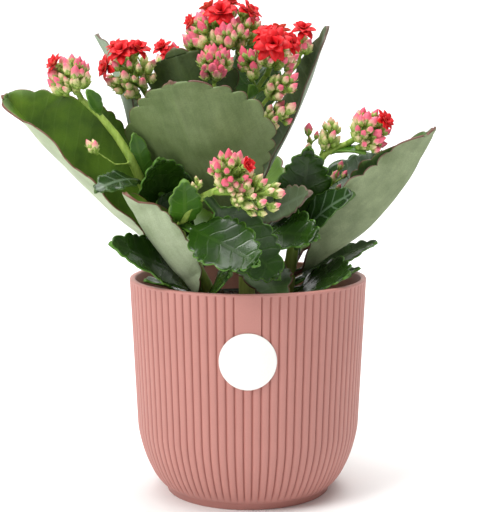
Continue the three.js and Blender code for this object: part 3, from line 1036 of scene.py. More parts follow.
@dataclass
class NurseryPot:
    """The thin black pot that the plant grows in."""

    node: str = "nursery_pot"
    wall: float = 1.2
    lip_width: float = 2.0
    lip_height: float = 5.0
    base_radius: float = 42.0
    segments: int = 96

    def build(self) -> bpy.types.Object:
        """Spins the pot's outline round its axis and dresses it.

        Returns:
            The piece.
        """
        low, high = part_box(self.node)
        rim, top, bottom = (high.x - low.x) / 2 / MM, high.z / MM, low.z / MM
        under = rim - self.lip_width
        outline = [(0, bottom), (self.base_radius - 1.5, bottom), (self.base_radius, bottom + 1),
                   (under - 0.4, top - self.lip_height), (rim - 0.3, top - self.lip_height),
                   (rim, top - self.lip_height + 0.4), (rim, top - 0.5), (rim - 0.4, top),
                   (rim - self.wall, top), (rim - self.wall - 0.5, top - 0.5), (under - self.wall,
                           top - 1.6),
                   (self.base_radius - self.wall, bottom + self.wall), (0, bottom + self.wall)]
        mesh = bpy.data.meshes.new("nursery_pot_black")
        mesh.from_pydata([(r * MM, 0, z * MM) for r, z in outline],
                         [(i, i + 1) for i in range(len(outline) - 1)], [])
        piece = add_object(mesh.name, mesh)
        make_active(piece)
        bpy.ops.object.mode_set(mode="EDIT")
        bpy.ops.mesh.select_all(action="SELECT")
        bpy.ops.mesh.spin(steps=self.segments, angle=2 * math.pi, center=(0, 0, 0), axis=(0, 0, 1))
        bpy.ops.object.mode_set(mode="OBJECT")
        face_outwards(piece)
        mesh.materials.append(BlackPlastic("black_polypropylene", roughness=0.42,
                                           ior=1.49).material())
        shade_smooth(piece, 35)
        return hand_in(piece, "nursery_pot", self.node)


@dataclass
class SoilBed:
    """The peat in the nursery pot: a crumbly surface over a closed plug."""

    node: str = "soil"
    depth: float = 30.0
    rings: int = 46
    sides: int = 120
    lumps_mm: float = 1.3
    crumbs: int = 520

    taper = 3.0  # how much narrower the plug's foot is
    edge_drop = 3.0  # how far the surface falls towards its edge
    settled = 0.6
    lump_scale = 0.16  # per millimetre

    def build(self, chance: random.Random) -> bpy.types.Object:
        """Builds the surface with its crumbs and dresses it.

        Args:
            chance: the seeded source of the crumbs' places.

        Returns:
            The piece.
        """
        low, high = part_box(self.node)
        radius, top = (high.x - low.x) / 2 / MM - 0.4, high.z / MM
        turns = np.arange(self.sides) / self.sides * 2 * math.pi
        shells = [(share * radius, top - self.edge_drop * share**3)
                  for share in np.linspace(1, 0.02, self.rings)]
        points = [np.stack([(radius - self.taper) * np.cos(turns),
                            (radius - self.taper) * np.sin(turns),
                            np.full_like(turns, top - self.depth)], 1)]
        for r, z in shells:
            ring = np.stack([r * np.cos(turns), r * np.sin(turns), np.full_like(turns, z)], 1)
            rough = np.array([noise.fractal(Vector(p) * self.lump_scale, 1.0, 2.0,
                                            4) for p in ring])
            ring[:, 2] += self.lumps_mm * rough - self.settled
            points.append(ring)
        faces = ring_faces(len(points), self.sides)
        cloud = [np.concatenate(points)]
        count = len(cloud[0])
        for _ in range(self.crumbs):
            size = 0.5 + 1.5 * chance.random() ** 3
            r, turn = (radius - 2) * math.sqrt(chance.random()), chance.random() * 2 * math.pi
            share = r / radius
            middle = np.array([r * math.cos(turn), r * math.sin(turn),
                               top - self.edge_drop * share**3 - 0.3 + size * 0.3])
            crumb = CRUMB * size * np.array([1, 0.7 + 0.6 * chance.random(),
                                             0.7]) @ turned_by(chance)
            cloud.append(middle + crumb)
            faces += [tuple(count + index for index in face) for face in CRUMB_FACES]
            count += len(CRUMB)
        finish = PeatSoil("moist_peat", roughness=0.95, ior=1.4)
        piece = mesh_piece("soil_peat", np.concatenate(cloud), faces, [finish.material()])
        face_outwards(piece)
        return hand_in(piece, "soil", self.node)


def turned_by(chance: random.Random) -> np.ndarray:
    """A random turn.

    Args:
        chance: the seeded source of the axis and the angle.

    Returns:
        The turn as a matrix.
    """
    axis = unit(np.array([chance.uniform(-1, 1), chance.uniform(-1, 1), chance.uniform(-1, 1)]))
    angle = chance.uniform(0, 2 * math.pi)
    cross = np.array([[0, -axis[2], axis[1]], [axis[2], 0, -axis[0]], [-axis[1], axis[0], 0]])
    return np.eye(3) + math.sin(angle) * cross + (1 - math.cos(angle)) * cross @ cross


# ------------------------------------------------------------------ stems


@dataclass
class Stems:
    """The plant's stems with their branches, rounded from their CAD nodes."""

    nodes: tuple[str, ...] = ("stem_left", "stem_centre", "stem_right", "stem_front")
    voxel_mm: float = 0.75
    smoothing: int = 14

    def surface(self, frame: dict) -> BVHTree:
        """The surface of all the stems, for finding where leaves and flowers grow on them.

        Args:
            frame: the loaded frame.

        Returns:
            The surface, in millimetres.
        """
        points, faces, start = [], [], 0
        for node in self.nodes:
            mesh = frame["nodes"][node].data
            points += [v.co / MM for v in mesh.vertices]
            faces += [tuple(start + i for i in p.vertices) for p in mesh.polygons]
            start = len(points)
        return BVHTree.FromPolygons(points, faces)

    def build(self, frame: dict) -> list[bpy.types.Object]:
        """Builds each stem from a merged, remeshed and smoothed copy of its node, and dresses it.

        Args:
            frame: the loaded frame.

        Returns:
            The pieces.
        """
        skin = GreenStem("succulent_stem", roughness=0.45, ior=1.4).material()
        made = []
        for node in self.nodes:
            source = frame["nodes"][node]
            piece = add_object(node + "_smooth", source.data.copy())
            face_outwards(piece)
            apply_modifier(piece, "REMESH", mode="VOXEL", voxel_size=self.voxel_mm * MM)
            apply_modifier(piece, "SMOOTH", factor=0.5, iterations=self.smoothing)
            piece.data.materials.clear()
            piece.data.materials.append(skin)
            shade_smooth(piece)
            made.append(hand_in(piece, "stem", node))
        return made


# ------------------------------------------------------------------ leaves


@dataclass(frozen=True)
class LeafTones:
    """A leaf's colours and gloss: two greens and the veins above, two greens below, the margin."""

    main: str
    second: str
    vein: str
    under: str
    under_second: str
    margin: str
    roughness: float


class LeafLook(Enum):
    """How a leaf's two sides look."""

    BROAD = LeafTones("#5a7c1e", "#405f11", "#6d8a3e", "#92a17c", "#aab795", "#71493a", 0.40)
    GLOSSY = LeafTones("#28480f", "#1a3408", "#4d6e2a", "#6f8354", "#5b7043", "#4f7a26", 0.26)
    VEINED = LeafTones("#27421a", "#1a3012", "#7d9478", "#66795a", "#56694a", "#46642a", 0.24)
    GREY = LeafTones("#456028", "#35501e", "#65803f", "#708052", "#5d6e41", "#684339", 0.46)
    DUSK = LeafTones("#35501f", "#294018", "#54693a", "#54663a", "#445430", "#6c3c3a", 0.46)
    PALE = LeafTones("#45642a", "#34501b", "#76904e", "#707e58", "#8b9873", "#6e4a40", 0.48)
    SILVER = LeafTones("#566644", "#435236", "#8a9a84", "#7c8c74", "#90a088", "#6b5a4e", 0.42)
    FRESH = LeafTones("#416d1a", "#315812", "#7a9e42", "#6f8f42", "#5e7e34", "#5f8430", 0.34)

    @functools.cache
    def materials(self) -> list[bpy.types.Material]:
        """The look's materials, made once.

        Returns:
            The under side, the upper side and the margin, in the order the thickness gives them.
        """
        tones, name = self.value, self.name.lower()
        dark = self in (LeafLook.GLOSSY, LeafLook.VEINED, LeafLook.FRESH)
        upper = LeafSkin(name + "_leaf_upper", tones.roughness, LEAF_IOR, tones.main, tones.second,
                         tones.vein, tones.margin, vein_share=0.4 if self is LeafLook.VEINED else 0.14,
                         margin_mm=0.45,
                         vein_relief=0.5 if dark else 0.25)
        below = LeafSkin(name + "_leaf_under", 0.55, LEAF_IOR, tones.under, tones.under_second,
                         tones.under_second, tones.margin, vein_share=0.06, streaks=0.08,
                         margin_mm=0.25 if dark else 0.4)
        rim = LeafSkin(name + "_leaf_margin", 0.5, LEAF_IOR, tones.margin, tones.margin,
                       tones.margin, tones.margin, vein_share=0.0)
        return [below.material(), upper.material(), rim.material()]


@dataclass(frozen=True)
class Margin:
    """A leaf's smooth margin, step by step along the leaf.

    The steps are shares of the leaf's length. For each there is the margin's length up to it, in
    millimetres, and its direction there: how much of it goes sideways and how much towards the tip.
    """

    steps: np.ndarray
    length: np.ndarray
    sideways: np.ndarray
    ahead: np.ndarray


@dataclass
class Leaf:
    """One leaf: its width, the way its upper side faces, and how it folds, curls and arches."""

    node: str
    width: float
    faces: Direction
    fold: float
    curl: float
    arch: float
    look: LeafLook = LeafLook.GLOSSY
    pitch_mm: float = 8.0
    tooth_mm: float = 1.3
    wave_mm: float = 0.8
    widest: float = 0.5
    petiole_share: float = 0.16

    petiole_width = 5.0
    petiole_thickness = 3.4
    blade_thickness = 1.25
    margin_thickness = 0.75
    fullness = 0.62
    last_ring = 0.99
    row_mm = 1.2
    column_mm = 4.4
    slim_width = 20.0  # narrower leaves have a slimmer petiole too
    stalk_end = 1.02  # where the petiole has tapered away, as a share of the length
    stalk_taper = 0.25
    tooth_fade = 3.0
    tooth_power = 0.65
    tooth_wobble = 0.28
    tip_gain = 0.7  # how much deeper the teeth are at the tip
    tip_reach = 18.0
    crease_width = 2.2
    swell_scale = 0.045  # per millimetre
    midrib_depth = 0.55
    midrib_width = 1.5
    vein_pitch = 9.0
    vein_width = 1.2
    keel_height = 1.1
    keel_width = 1.6

    def ends(self, frame: dict, stems: BVHTree) -> tuple[np.ndarray, np.ndarray]:
        """Where the leaf's chord starts, inside its stem, and where its tip is.

        Args:
            frame: the loaded frame.
            stems: the stems' surface.

        Returns:
            The two points, in millimetres.
        """
        points = vertices_of(frame["nodes"][self.node]) / MM
        gaps = np.array([stems.find_nearest(Vector(p))[3] for p in points])
        foot = points[gaps < gaps.min() + 0.5].mean(0)
        far = points[np.linalg.norm(points - foot, axis=1).argmax()]
        end = points[np.linalg.norm(points - far, axis=1) < self.petiole_width * 0.8].mean(0)
        base = foot
        for _ in range(3):
            chord = end - base
            along = unit(chord)
            up = unit(np.array(self.faces) - along * np.dot(self.faces, along))
            tangent = unit(chord + up * self.arch * 4)
            start = foot + tangent * 1.5
            entry = stems.ray_cast(Vector(start), Vector(-tangent))
            if entry[0] is None:
                break
            inside = np.array(entry[0]) - tangent * 0.05
            out = stems.ray_cast(Vector(inside), Vector(-tangent))
            base = (inside + np.array(out[0])) / 2 if out[0] is not None else inside - tangent * 4
        return base, base + (end - base) / self.last_ring

    def build(self, frame: dict, stems: BVHTree, chance: random.Random) -> bpy.types.Object:
        """Shapes a grid into the blade, gives it its thickness and dresses it.

        Args:
            frame: the loaded frame.
            stems: the stems' surface.
            chance: the seeded source of the leaf's own unevenness.

        Returns:
            The piece.
        """
        base, tip = self.ends(frame, stems)
        length = np.linalg.norm(tip - base)
        margin = self.margin(length)
        piece, share, across = grid_piece(self.node + "_blade",
                                          max(28, int(margin.length[-1] / self.row_mm)),
                                          2 * max(5, int(self.width / self.column_mm)))
        share = np.interp(share * margin.length[-1], margin.length, margin.steps)
        blade = self.outline(share)
        slim = min(1.0, self.width / self.slim_width)
        stalk = self.petiole_width / 2 * slim * np.clip((self.stalk_end - share) / self.stalk_taper,
                                                        0.08, 1)
        half = np.maximum(self.width / 2 * blade, stalk)
        reach = np.abs(across)
        edge = np.minimum((1 - reach) * half, (1 - share) * length)
        tooth, ahead, outward = self.teeth_at(share, across, margin, chance)
        toothed = np.clip(np.where(share > self.widest, blade * 5, blade * 2.5 - 0.6), 0, 1)
        tooth = tooth * toothed * np.exp(-edge / self.tooth_fade)
        half_here = half + tooth * outward * reach

        opened = np.minimum(1, blade * 1.6)
        fold = math.radians(self.fold) * opened
        curl = np.maximum(math.radians(self.curl) * opened, 0.01)
        out = half_here * (np.sin(fold + curl * reach) - np.sin(fold)) / curl
        rise = half_here * (np.cos(fold) - np.cos(fold + curl * reach)) / curl
        soft = (np.exp(-((reach * half_here / self.crease_width) ** 2)) * 1.1
                * np.tan(np.minimum(fold, 1.1)) * opened)

        along = unit(tip - base)
        up = unit(np.array(self.faces) - along * np.dot(self.faces, along))
        centre = (base + np.outer(share, tip - base) + np.outer(self.arch * 4 * share * (1 - share),
                                                                up)
                  + np.outer(tooth * ahead, along))
        tangent = unit((tip - base) + np.outer(self.arch * 4 * (1 - 2 * share), up))
        normal = unit(up - tangent * (tangent @ up)[:, None])
        side = np.cross(tangent, normal)

        depth = self.relief(share * length, reach * half_here, blade)
        phase = chance.uniform(0, 6)
        swing = np.sin(share * length / self.pitch_mm * 2.0 + phase + np.sign(across) * 1.1)
        ripple = self.wave_mm * reach**2.5 * swing * np.clip(blade * 2 - 0.5, 0, 1)
        seed = Vector((chance.uniform(0, 50), chance.uniform(0, 50), 0))
        swell = np.array([noise.noise(Vector((s * length * self.swell_scale,
                                              a * h * self.swell_scale, 0)) + seed)
                          for s, a, h in zip(share, across, half)]) * np.minimum(1.2, half / 14)
        lift = rise + depth + ripple + swell + soft
        points = centre + side * (np.sign(across) * out)[:, None] + normal * lift[:, None]
        place_vertices(piece, points)
        write_uv(piece, share * length * MM, across * half_here * MM)
        write_attribute(piece, "edge", edge)
        for material in self.look.materials():
            piece.data.materials.append(material)
        self.thicken(piece, blade, reach, half_here, slim)
        shade_smooth(piece)
        return hand_in(piece, "leaf", self.node)

    def outline(self, share: np.ndarray) -> np.ndarray:
        """The blade's width along the leaf.

        Args:
            share: shares of the leaf's length.

        Returns:
            The width at each, as a share of the widest.
        """
        along = np.clip((share - self.petiole_share) / (1 - self.petiole_share), 0, 1)
        return np.maximum(np.sin(math.pi * along ** (math.log(0.5) / math.log(self.widest))),
                          0) ** self.fullness

    def margin(self, length: float) -> Margin:
        """Follows the leaf's smooth margin from the petiole to the tip.

        Args:
            length: the leaf's length, in millimetres.

        Returns:
            The margin.
        """
        steps = np.linspace(0, 1, 600)
        rise, run = np.diff(self.width / 2 * self.outline(steps)), np.diff(steps * length)
        step = np.hypot(rise, run)
        sideways, ahead = rise / step, run / step
        return Margin(steps, np.concatenate([[0], np.cumsum(step)]),
                      np.append(sideways, sideways[-1]),
                      np.append(ahead, ahead[-1]))

    def teeth_at(self, share: np.ndarray, across: np.ndarray, margin: Margin,
                 chance: random.Random) -> tuple[np.ndarray, np.ndarray, np.ndarray]:
        """How far the rounded teeth stand out from the outline.

        Args:
            share: each point's share along the leaf.
            across: its share across, from -1 to 1.
            margin: the leaf's smooth margin.
            chance: the seeded source of the teeth's unevenness.

        Returns:
            The teeth's height in millimetres, and how much of it goes towards the tip and sideways.
        """
        turn = np.where(across > 0, chance.uniform(0, 6), chance.uniform(0, 6))
        to_tip = margin.length[-1] - np.interp(share, margin.steps, margin.length)
        wobble = (self.tooth_wobble * np.sin(to_tip / self.pitch_mm * 1.7 + turn)
                  * np.clip(to_tip / self.pitch_mm, 0, 1))
        scallop = np.abs(np.cos(math.pi * (to_tip / self.pitch_mm + wobble))) ** self.tooth_power
        ahead = np.interp(share, margin.steps, -margin.sideways)
        outward = np.interp(share, margin.steps, margin.ahead)
        deeper = 1 + self.tip_gain * np.exp(-to_tip / self.tip_reach)
        return self.tooth_mm * deeper * (scallop * 1.5 - 1.05), ahead, outward

    def relief(self, along: np.ndarray, off: np.ndarray, blade: np.ndarray) -> np.ndarray:
        """How far the midrib and the side veins sink into the upper side.

        Args:
            along: each point's distance along the leaf, in millimetres.
            off: its distance from the midrib, in millimetres.
            blade: the blade's width there, as a share of the widest.

        Returns:
            Each point's height, in millimetres.
        """
        midrib = -self.midrib_depth * np.exp(-((off / self.midrib_width) ** 2))
        cycle = (along - VEIN_LEAN * off) / self.vein_pitch
        near = np.abs(cycle - np.round(cycle)) * self.vein_pitch
        sunk = -0.13 if self.look in (LeafLook.GLOSSY, LeafLook.VEINED) else -0.05
        beyond = np.clip((off - self.midrib_width) / 3, 0, 1)
        side = sunk * np.exp(-((near / self.vein_width) ** 2)) * beyond
        return (midrib + side) * np.clip(blade * 2, 0.1, 1)

    def thicken(self, piece: bpy.types.Object, blade: np.ndarray, reach: np.ndarray,
                half: np.ndarray,
                slim: float) -> None:
        """Gives the sheet its thickness: stout in the petiole, thin towards the margin.

        Args:
            piece: the leaf's sheet.
            blade: the blade's width at each point, as a share of the widest.
            reach: the point's share of the way from the midrib to the margin.
            half: the leaf's half width there, in millimetres.
            slim: the share of the petiole's full size.
        """
        stalk = 1 - np.minimum(1, blade * 1.6)
        body = self.blade_thickness + (self.margin_thickness - self.blade_thickness) * reach**2
        keel = self.keel_height * np.exp(-((reach * half / self.keel_width) ** 2)) * (1 - stalk)
        petiole = self.petiole_thickness * stalk * (1 - 0.55 * reach**2) * slim
        thick = (body + keel) * (1 - stalk) + petiole
        widest = float(thick.max())
        group = piece.vertex_groups.new(name="thickness")
        for index, value in enumerate(thick / widest):
            group.add([index], float(value), "REPLACE")
        apply_modifier(piece, "SOLIDIFY", thickness=widest * MM, offset=0.0,
                       vertex_group="thickness",
                       material_offset=1, material_offset_rim=2, use_even_offset=False)


# node, width, the way it faces, fold, curl, arch, look, teeth's pitch and height, waves' height
LEAVES = (
    Leaf("leaf_left_large", 86, (0.68, -0.5, 0.54), 34, 20, -8, LeafLook.BROAD, 11, 1.4, 1.6),
    Leaf("leaf_left_low", 30, (0.2, -0.7, 0.7), 8, 12, 2, LeafLook.GLOSSY, 8, 1.2),
    Leaf("leaf_left_veined", 16, (0, -0.75, 0.66), 6, 12, 4, LeafLook.VEINED, 5, 1.2),
    Leaf("leaf_left_upright", 34, (0.25, -0.9, 0.3), 8, 14, -3, LeafLook.GLOSSY, 9, 1.3),
    Leaf("bract_left_stem", 12, (0.2, -0.9, 0.2), 6, 10, 2, LeafLook.FRESH, 7, 0.5, 0.3),
    Leaf("bract_left_top", 9, (0.3, -0.8, 0.4), 8, 16, 1, LeafLook.FRESH, 9, 0.3, 0.3),
    Leaf("leaf_left_rim", 14, (0.1, -0.3, 0.95), 8, 12, 2, LeafLook.GLOSSY, 6, 0.8),
    Leaf("leaf_back_spike", 22, (0.9, -0.1, 0.4), 34, 14, 4, LeafLook.SILVER, 12, 0.7),
    Leaf("leaf_back_left", 56, (0.2, -0.5, 0.8), 10, 16, 4, LeafLook.BROAD, 11, 1.8),
    Leaf("leaf_centre_large", 92, (0.2, 0.8, 0.5), 6, 22, -10, LeafLook.GREY, 13.5, 2.7, 1.3,
         widest=0.6),
    Leaf("leaf_centre_back", 58, (0.15, 0.9, 0.3), 8, 20, -3, LeafLook.DUSK, 15, 2.6, widest=0.6),
    Leaf("leaf_top_back", 34, (-0.1, -0.9, 0.2), 12, 14, -6, LeafLook.GLOSSY, 10, 1.2),
    Leaf("leaf_centre_grey", 20, (0.3, -0.85, 0.4), 8, 12, -3, LeafLook.SILVER, 8, 1.2),
    Leaf("leaf_centre_low", 33, (0.2, -0.8, 0.5), 6, 12, 6, LeafLook.GLOSSY, 7, 2.0),
    Leaf("bract_centre", 9, (0.2, -0.9, 0.3), 6, 10, 1, LeafLook.FRESH, 9, 0.3, 0.2),
    Leaf("leaf_back_centre", 66, (0, -0.6, 0.8), 14, 20, -8, LeafLook.BROAD, 12, 1.8),
    Leaf("leaf_back_low", 52, (0, -0.6, 0.8), 6, 12, 3, LeafLook.GLOSSY, 11, 1.6),
    Leaf("leaf_right_large", 60, (-0.7, 0.05, 0.7), 58, 16, -14, LeafLook.PALE, 16, 1.8, 1.6,
         petiole_share=0.06),
    Leaf("leaf_right_back", 38, (-0.3, -0.7, 0.6), 10, 14, -4, LeafLook.GLOSSY, 10, 1.5),
    Leaf("leaf_right_veined", 26, (-0.2, -0.6, 0.7), 8, 14, 5, LeafLook.VEINED, 9, 1.0),
    Leaf("leaf_right_low", 20, (0, -0.3, 0.9), 12, 12, 0, LeafLook.GLOSSY, 9, 1.2),
    Leaf("leaf_rim_right", 37, (-0.1, -0.55, 0.8), 6, 10, 2, LeafLook.GLOSSY, 8, 1.8),
    Leaf("leaf_rim_small", 12, (0, -0.4, 0.9), 8, 12, -2, LeafLook.GLOSSY, 6, 0.9),
    Leaf("leaf_right_broad", 34, (0.1, -0.9, 0.2), 8, 12, -2, LeafLook.GLOSSY, 9, 1.8),
    Leaf("leaf_right_tall", 25, (-0.9, -0.45, 0.2), 24, 14, -6, LeafLook.SILVER, 14, 1.0),
    Leaf("leaf_back_right", 58, (-0.3, -0.3, 0.8), 14, 18, 4, LeafLook.BROAD, 11, 1.8),
    Leaf("bract_right", 10, (0, -0.3, 0.9), 8, 14, 2, LeafLook.FRESH, 9, 0.3, 0.2),
    Leaf("leaf_front_pale", 42, (0.72, 0.1, 0.6), 52, 14, -6, LeafLook.BROAD, 14, 1.2, 0.8),
    Leaf("leaf_front_round", 32, (0.15, -0.93, 0.4), 4, 10, 2, LeafLook.GLOSSY, 7, 1.7),
    Leaf("leaf_front_under", 32, (0.1, -0.95, 0.25), 6, 12, -6, LeafLook.GLOSSY, 8, 1.7),
    Leaf("leaf_front_hanging", 30, (0, -0.5, 0.85), 8, 14, 3, LeafLook.PALE, 8, 1.2),
    Leaf("leaf_front_dark", 26, (0.2, -0.85, 0.45), 8, 12, 2, LeafLook.GLOSSY, 7, 1.3),
    Leaf("leaf_front_low", 30, (0, -0.8, 0.6), 6, 10, 1, LeafLook.GLOSSY, 8, 1.3),
    Leaf("bract_front", 19, (0.1, -0.9, 0.2), 8, 12, 1, LeafLook.FRESH, 8, 0.9, 0.3),
)


# ------------------------------------------------------------------ flower heads


class Parts:
    """Collects many small closed shapes into one piece."""

    def __init__(self) -> None:
        """Starts with nothing."""
        self.points: list[np.ndarray] = []
        self.faces: list[tuple[int, ...]] = []
        self.slots: list[int] = []
        self.ripe: list[np.ndarray] = []
        self.count = 0

    def add(self, points: np.ndarray, faces: list, ripe: np.ndarray,
            slots: list[int] | int = 0) -> None:
        """Adds one shape.

        Args:
            points: its points in millimetres.
            faces: its faces, by its own point numbers.
            ripe: the number each point hands to its material.
            slots: the material number of each face, or one for all.
        """
        self.points.append(points)
        self.faces += [tuple(self.count + i for i in face) for face in faces]
        self.slots += [slots] * len(faces) if isinstance(slots, int) else slots
        self.ripe.append(ripe)
        self.count += len(points)

    def piece(self, name: str, materials: list[bpy.types.Material]) -> bpy.types.Object:
        """Makes the piece.

        Args:
            name: the piece's name.
            materials: its materials.

        Returns:
            The piece.
        """
        return mesh_piece(name, np.concatenate(self.points), self.faces, materials,
                          np.array(self.slots),
                          ripe=np.concatenate(self.ripe))


def tube(line: np.ndarray, radii: np.ndarray, sides: int) -> np.ndarray:
    """The points of a round tube along a line.

    Args:
        line: the line's points.
        radii: the tube's radius at each.
        sides: points in a ring.

    Returns:
        The points, ring after ring.
    """
    heading = unit(np.gradient(line, axis=0))
    first, _ = square_axes(heading[0])
    turns = np.arange(sides) / sides * 2 * math.pi
    rings = []
    for point, ahead, radius in zip(line, heading, radii):
        first = unit(first - ahead * np.dot(first, ahead))
        second = np.cross(ahead, first)
        rings.append(point + radius * (np.outer(np.cos(turns), first) + np.outer(np.sin(turns),
                second)))
    return np.concatenate(rings)


@dataclass(frozen=True)
class Bud:
    """A closed bud: a pointed egg of four wound petals."""

    sides: int = 8
    profile: tuple[tuple[float, float], ...] = ((0, 0.5), (0.14, 0.86), (0.4, 1), (0.64, 0.84),
                                                (0.84, 0.46), (1, 0.07))

    def add_to(self, parts: Parts, foot: np.ndarray, heading: np.ndarray, length: float,
               ripe: float,
               chance: random.Random) -> None:
        """Adds the bud.

        Args:
            parts: what it is collected in.
            foot: where it starts.
            heading: the way it points.
            length: its length, in millimetres.
            ripe: how ripe it is, from 0 to 1.
            chance: the seeded source of its unevenness.
        """
        first, second = square_axes(heading)
        turns = np.arange(self.sides) / self.sides * 2 * math.pi + chance.uniform(0, 1.5)
        width = length * chance.uniform(0.28, 0.33)
        points, tone = [], []
        for share, radius in self.profile:
            fluted = radius * width * (1 + 0.09 * np.cos(4 * turns + 2.2 * share))
            ring = np.outer(np.cos(turns) * fluted, first) + np.outer(np.sin(turns) * fluted,
                    second)
            points.append(foot + heading * share * length + ring)
            tone.append(np.full(self.sides, ripe * 0.54 + (share - 0.45) * 0.54))
        parts.add(np.concatenate(points), ring_faces(len(self.profile), self.sides),
                  np.concatenate(tone))


@dataclass(frozen=True)
class Calyx:
    """The green cup of four pointed sepals under a bud or a flower."""

    sides: int = 8

    def add_to(self, parts: Parts, foot: np.ndarray, heading: np.ndarray, radius: float,
               height: float) -> None:
        """Adds the cup.

        Args:
            parts: what it is collected in.
            foot: where it sits on the stalk.
            heading: the way it opens.
            radius: its radius, in millimetres.
            height: its height, in millimetres.
        """
        first, second = square_axes(heading)
        turns = np.arange(self.sides) / self.sides * 2 * math.pi
        point = np.where(np.arange(self.sides) % 2 == 0, 1.0, 0.42)
        flare = np.where(np.arange(self.sides) % 2 == 0, 1.25, 1.0)
        rings = [(0.35 * np.ones(self.sides), -0.25 * np.ones(self.sides)),
                 (0.95 * np.ones(self.sides), 0.1 * point),
                 (1.12 * flare, point), (0.98 * flare, point - 0.04), (0.7 * np.ones(self.sides),
                         0.12 * point)]
        points = [foot + np.outer(np.cos(turns) * r * radius, first)
                  + np.outer(np.sin(turns) * r * radius, second) + np.outer(h * height, heading)
                  for r, h in rings]
        tone = np.concatenate([np.clip(h, 0, 1) for _, h in rings])
        parts.add(np.concatenate(points), ring_faces(len(rings), self.sides), tone)


@dataclass(frozen=True)
class Bloom:
    """An open double flower: whorls of pointed petals, red inside and salmon behind."""

    towards: Direction
    diameter: float
    openness: float = 1.0
    inset: float = 0.0

    whorls = ((5, 1.0, 0), (5, 0.95, 18), (5, 0.78, 38),
              (3, 0.55, 62))  # petals, size, tilt in degrees
    shares = (0, 0.25, 0.5, 0.75, 0.92, 1.0)  # along a petal
    widths = (0.3, 0.72, 1.0, 0.76, 0.34, 0.03)
    half_thickness = 0.11
    crease = 0.22

    def add_to(self, parts: Parts, centre: np.ndarray, chance: random.Random) -> None:
        """Adds the flower's petals around its centre.

        Args:
            parts: what the petals are collected in.
            centre: the flower's middle, in millimetres.
            chance: the seeded source of the petals' unevenness.
        """
        axis = unit(np.array(self.towards, float))
        first, second = square_axes(axis)
        radius = self.diameter / 2
        for ring, (count, size, tilt) in enumerate(self.whorls):
            for i in range(count):
                turn = (i + 0.5 * (ring % 2)) / count * 2 * math.pi + chance.uniform(-0.2, 0.2)
                out = math.cos(turn) * first + math.sin(turn) * second
                lean = math.radians(90 - (90 - tilt) * self.openness + chance.uniform(-11, 11))
                length = radius * size * chance.uniform(0.9, 1.08)
                self.petal(parts, centre + axis * ring * 0.35 + out * 0.5, out, axis, lean, length,
                           radius * 0.30 * chance.uniform(0.85, 1.1), chance)

    def petal(self, parts: Parts, foot: np.ndarray, out: np.ndarray, axis: np.ndarray, lean: float,
              length: float,
              half: float, chance: random.Random) -> None:
        """Adds one petal as a thin closed blade with a crease and a pointed tip.

        Args:
            parts: what it is collected in.
            foot: where it starts.
            out: the way it grows out from the flower's middle.
            axis: the way the flower looks.
            lean: how far it leans up from that, in radians.
            length: its length, in millimetres.
            half: half its width, in millimetres.
            chance: the seeded source of its bend.
        """
        side = np.cross(axis, out)
        shares, widths = np.array(self.shares), np.array(self.widths) * half
        bend = chance.uniform(0.1, 0.5)
        line, normal = [], []
        place, angle = foot.copy(), lean + bend * 0.4
        for i, share in enumerate(shares):
            if i:
                ahead = math.cos(angle) * out + math.sin(angle) * axis
                place = place + ahead * length * (share - shares[i - 1])
            line.append(place)
            normal.append(-math.sin(angle) * out + math.cos(angle) * axis)
            angle -= bend * (0.35 if i < 2 else 0.6)
        front, back = [], []
        for place, up, width in zip(line, normal, widths):
            for v in (-1, 0, 1):
                point = place + side * v * width + up * (abs(v) * width * self.crease)
                front.append(point + up * self.half_thickness)
                back.append(point - up * self.half_thickness)
        count = len(front)
        faces, slots = [], []
        for i in range(len(shares) - 1):
            for j in range(2):
                a = i * 3 + j
                faces.append((a, a + 3, a + 4, a + 1))
                slots.append(0)
                faces.append((count + a, count + a + 1, count + a + 4, count + a + 3))
                slots.append(1)
        border = [0, 1, 2] + [i * 3 + 2 for i in range(1, len(shares))] + [count - 2, count - 3]
        border += [i * 3 for i in range(len(shares) - 2, 0, -1)]
        for a, b in zip(border, border[1:] + border[:1]):
            faces.append((a, b, count + b, count + a))
            slots.append(0)
        tone = np.tile(np.repeat(shares, 3), 2)
        parts.add(np.array(front + back), faces, tone, slots)


@dataclass(frozen=True)
class Dome:
    """A flower head's shape in millimetres: its foot, the way it points and its size."""

    foot: np.ndarray
    axis: np.ndarray
    height: float
    radius: float
    middle: np.ndarray


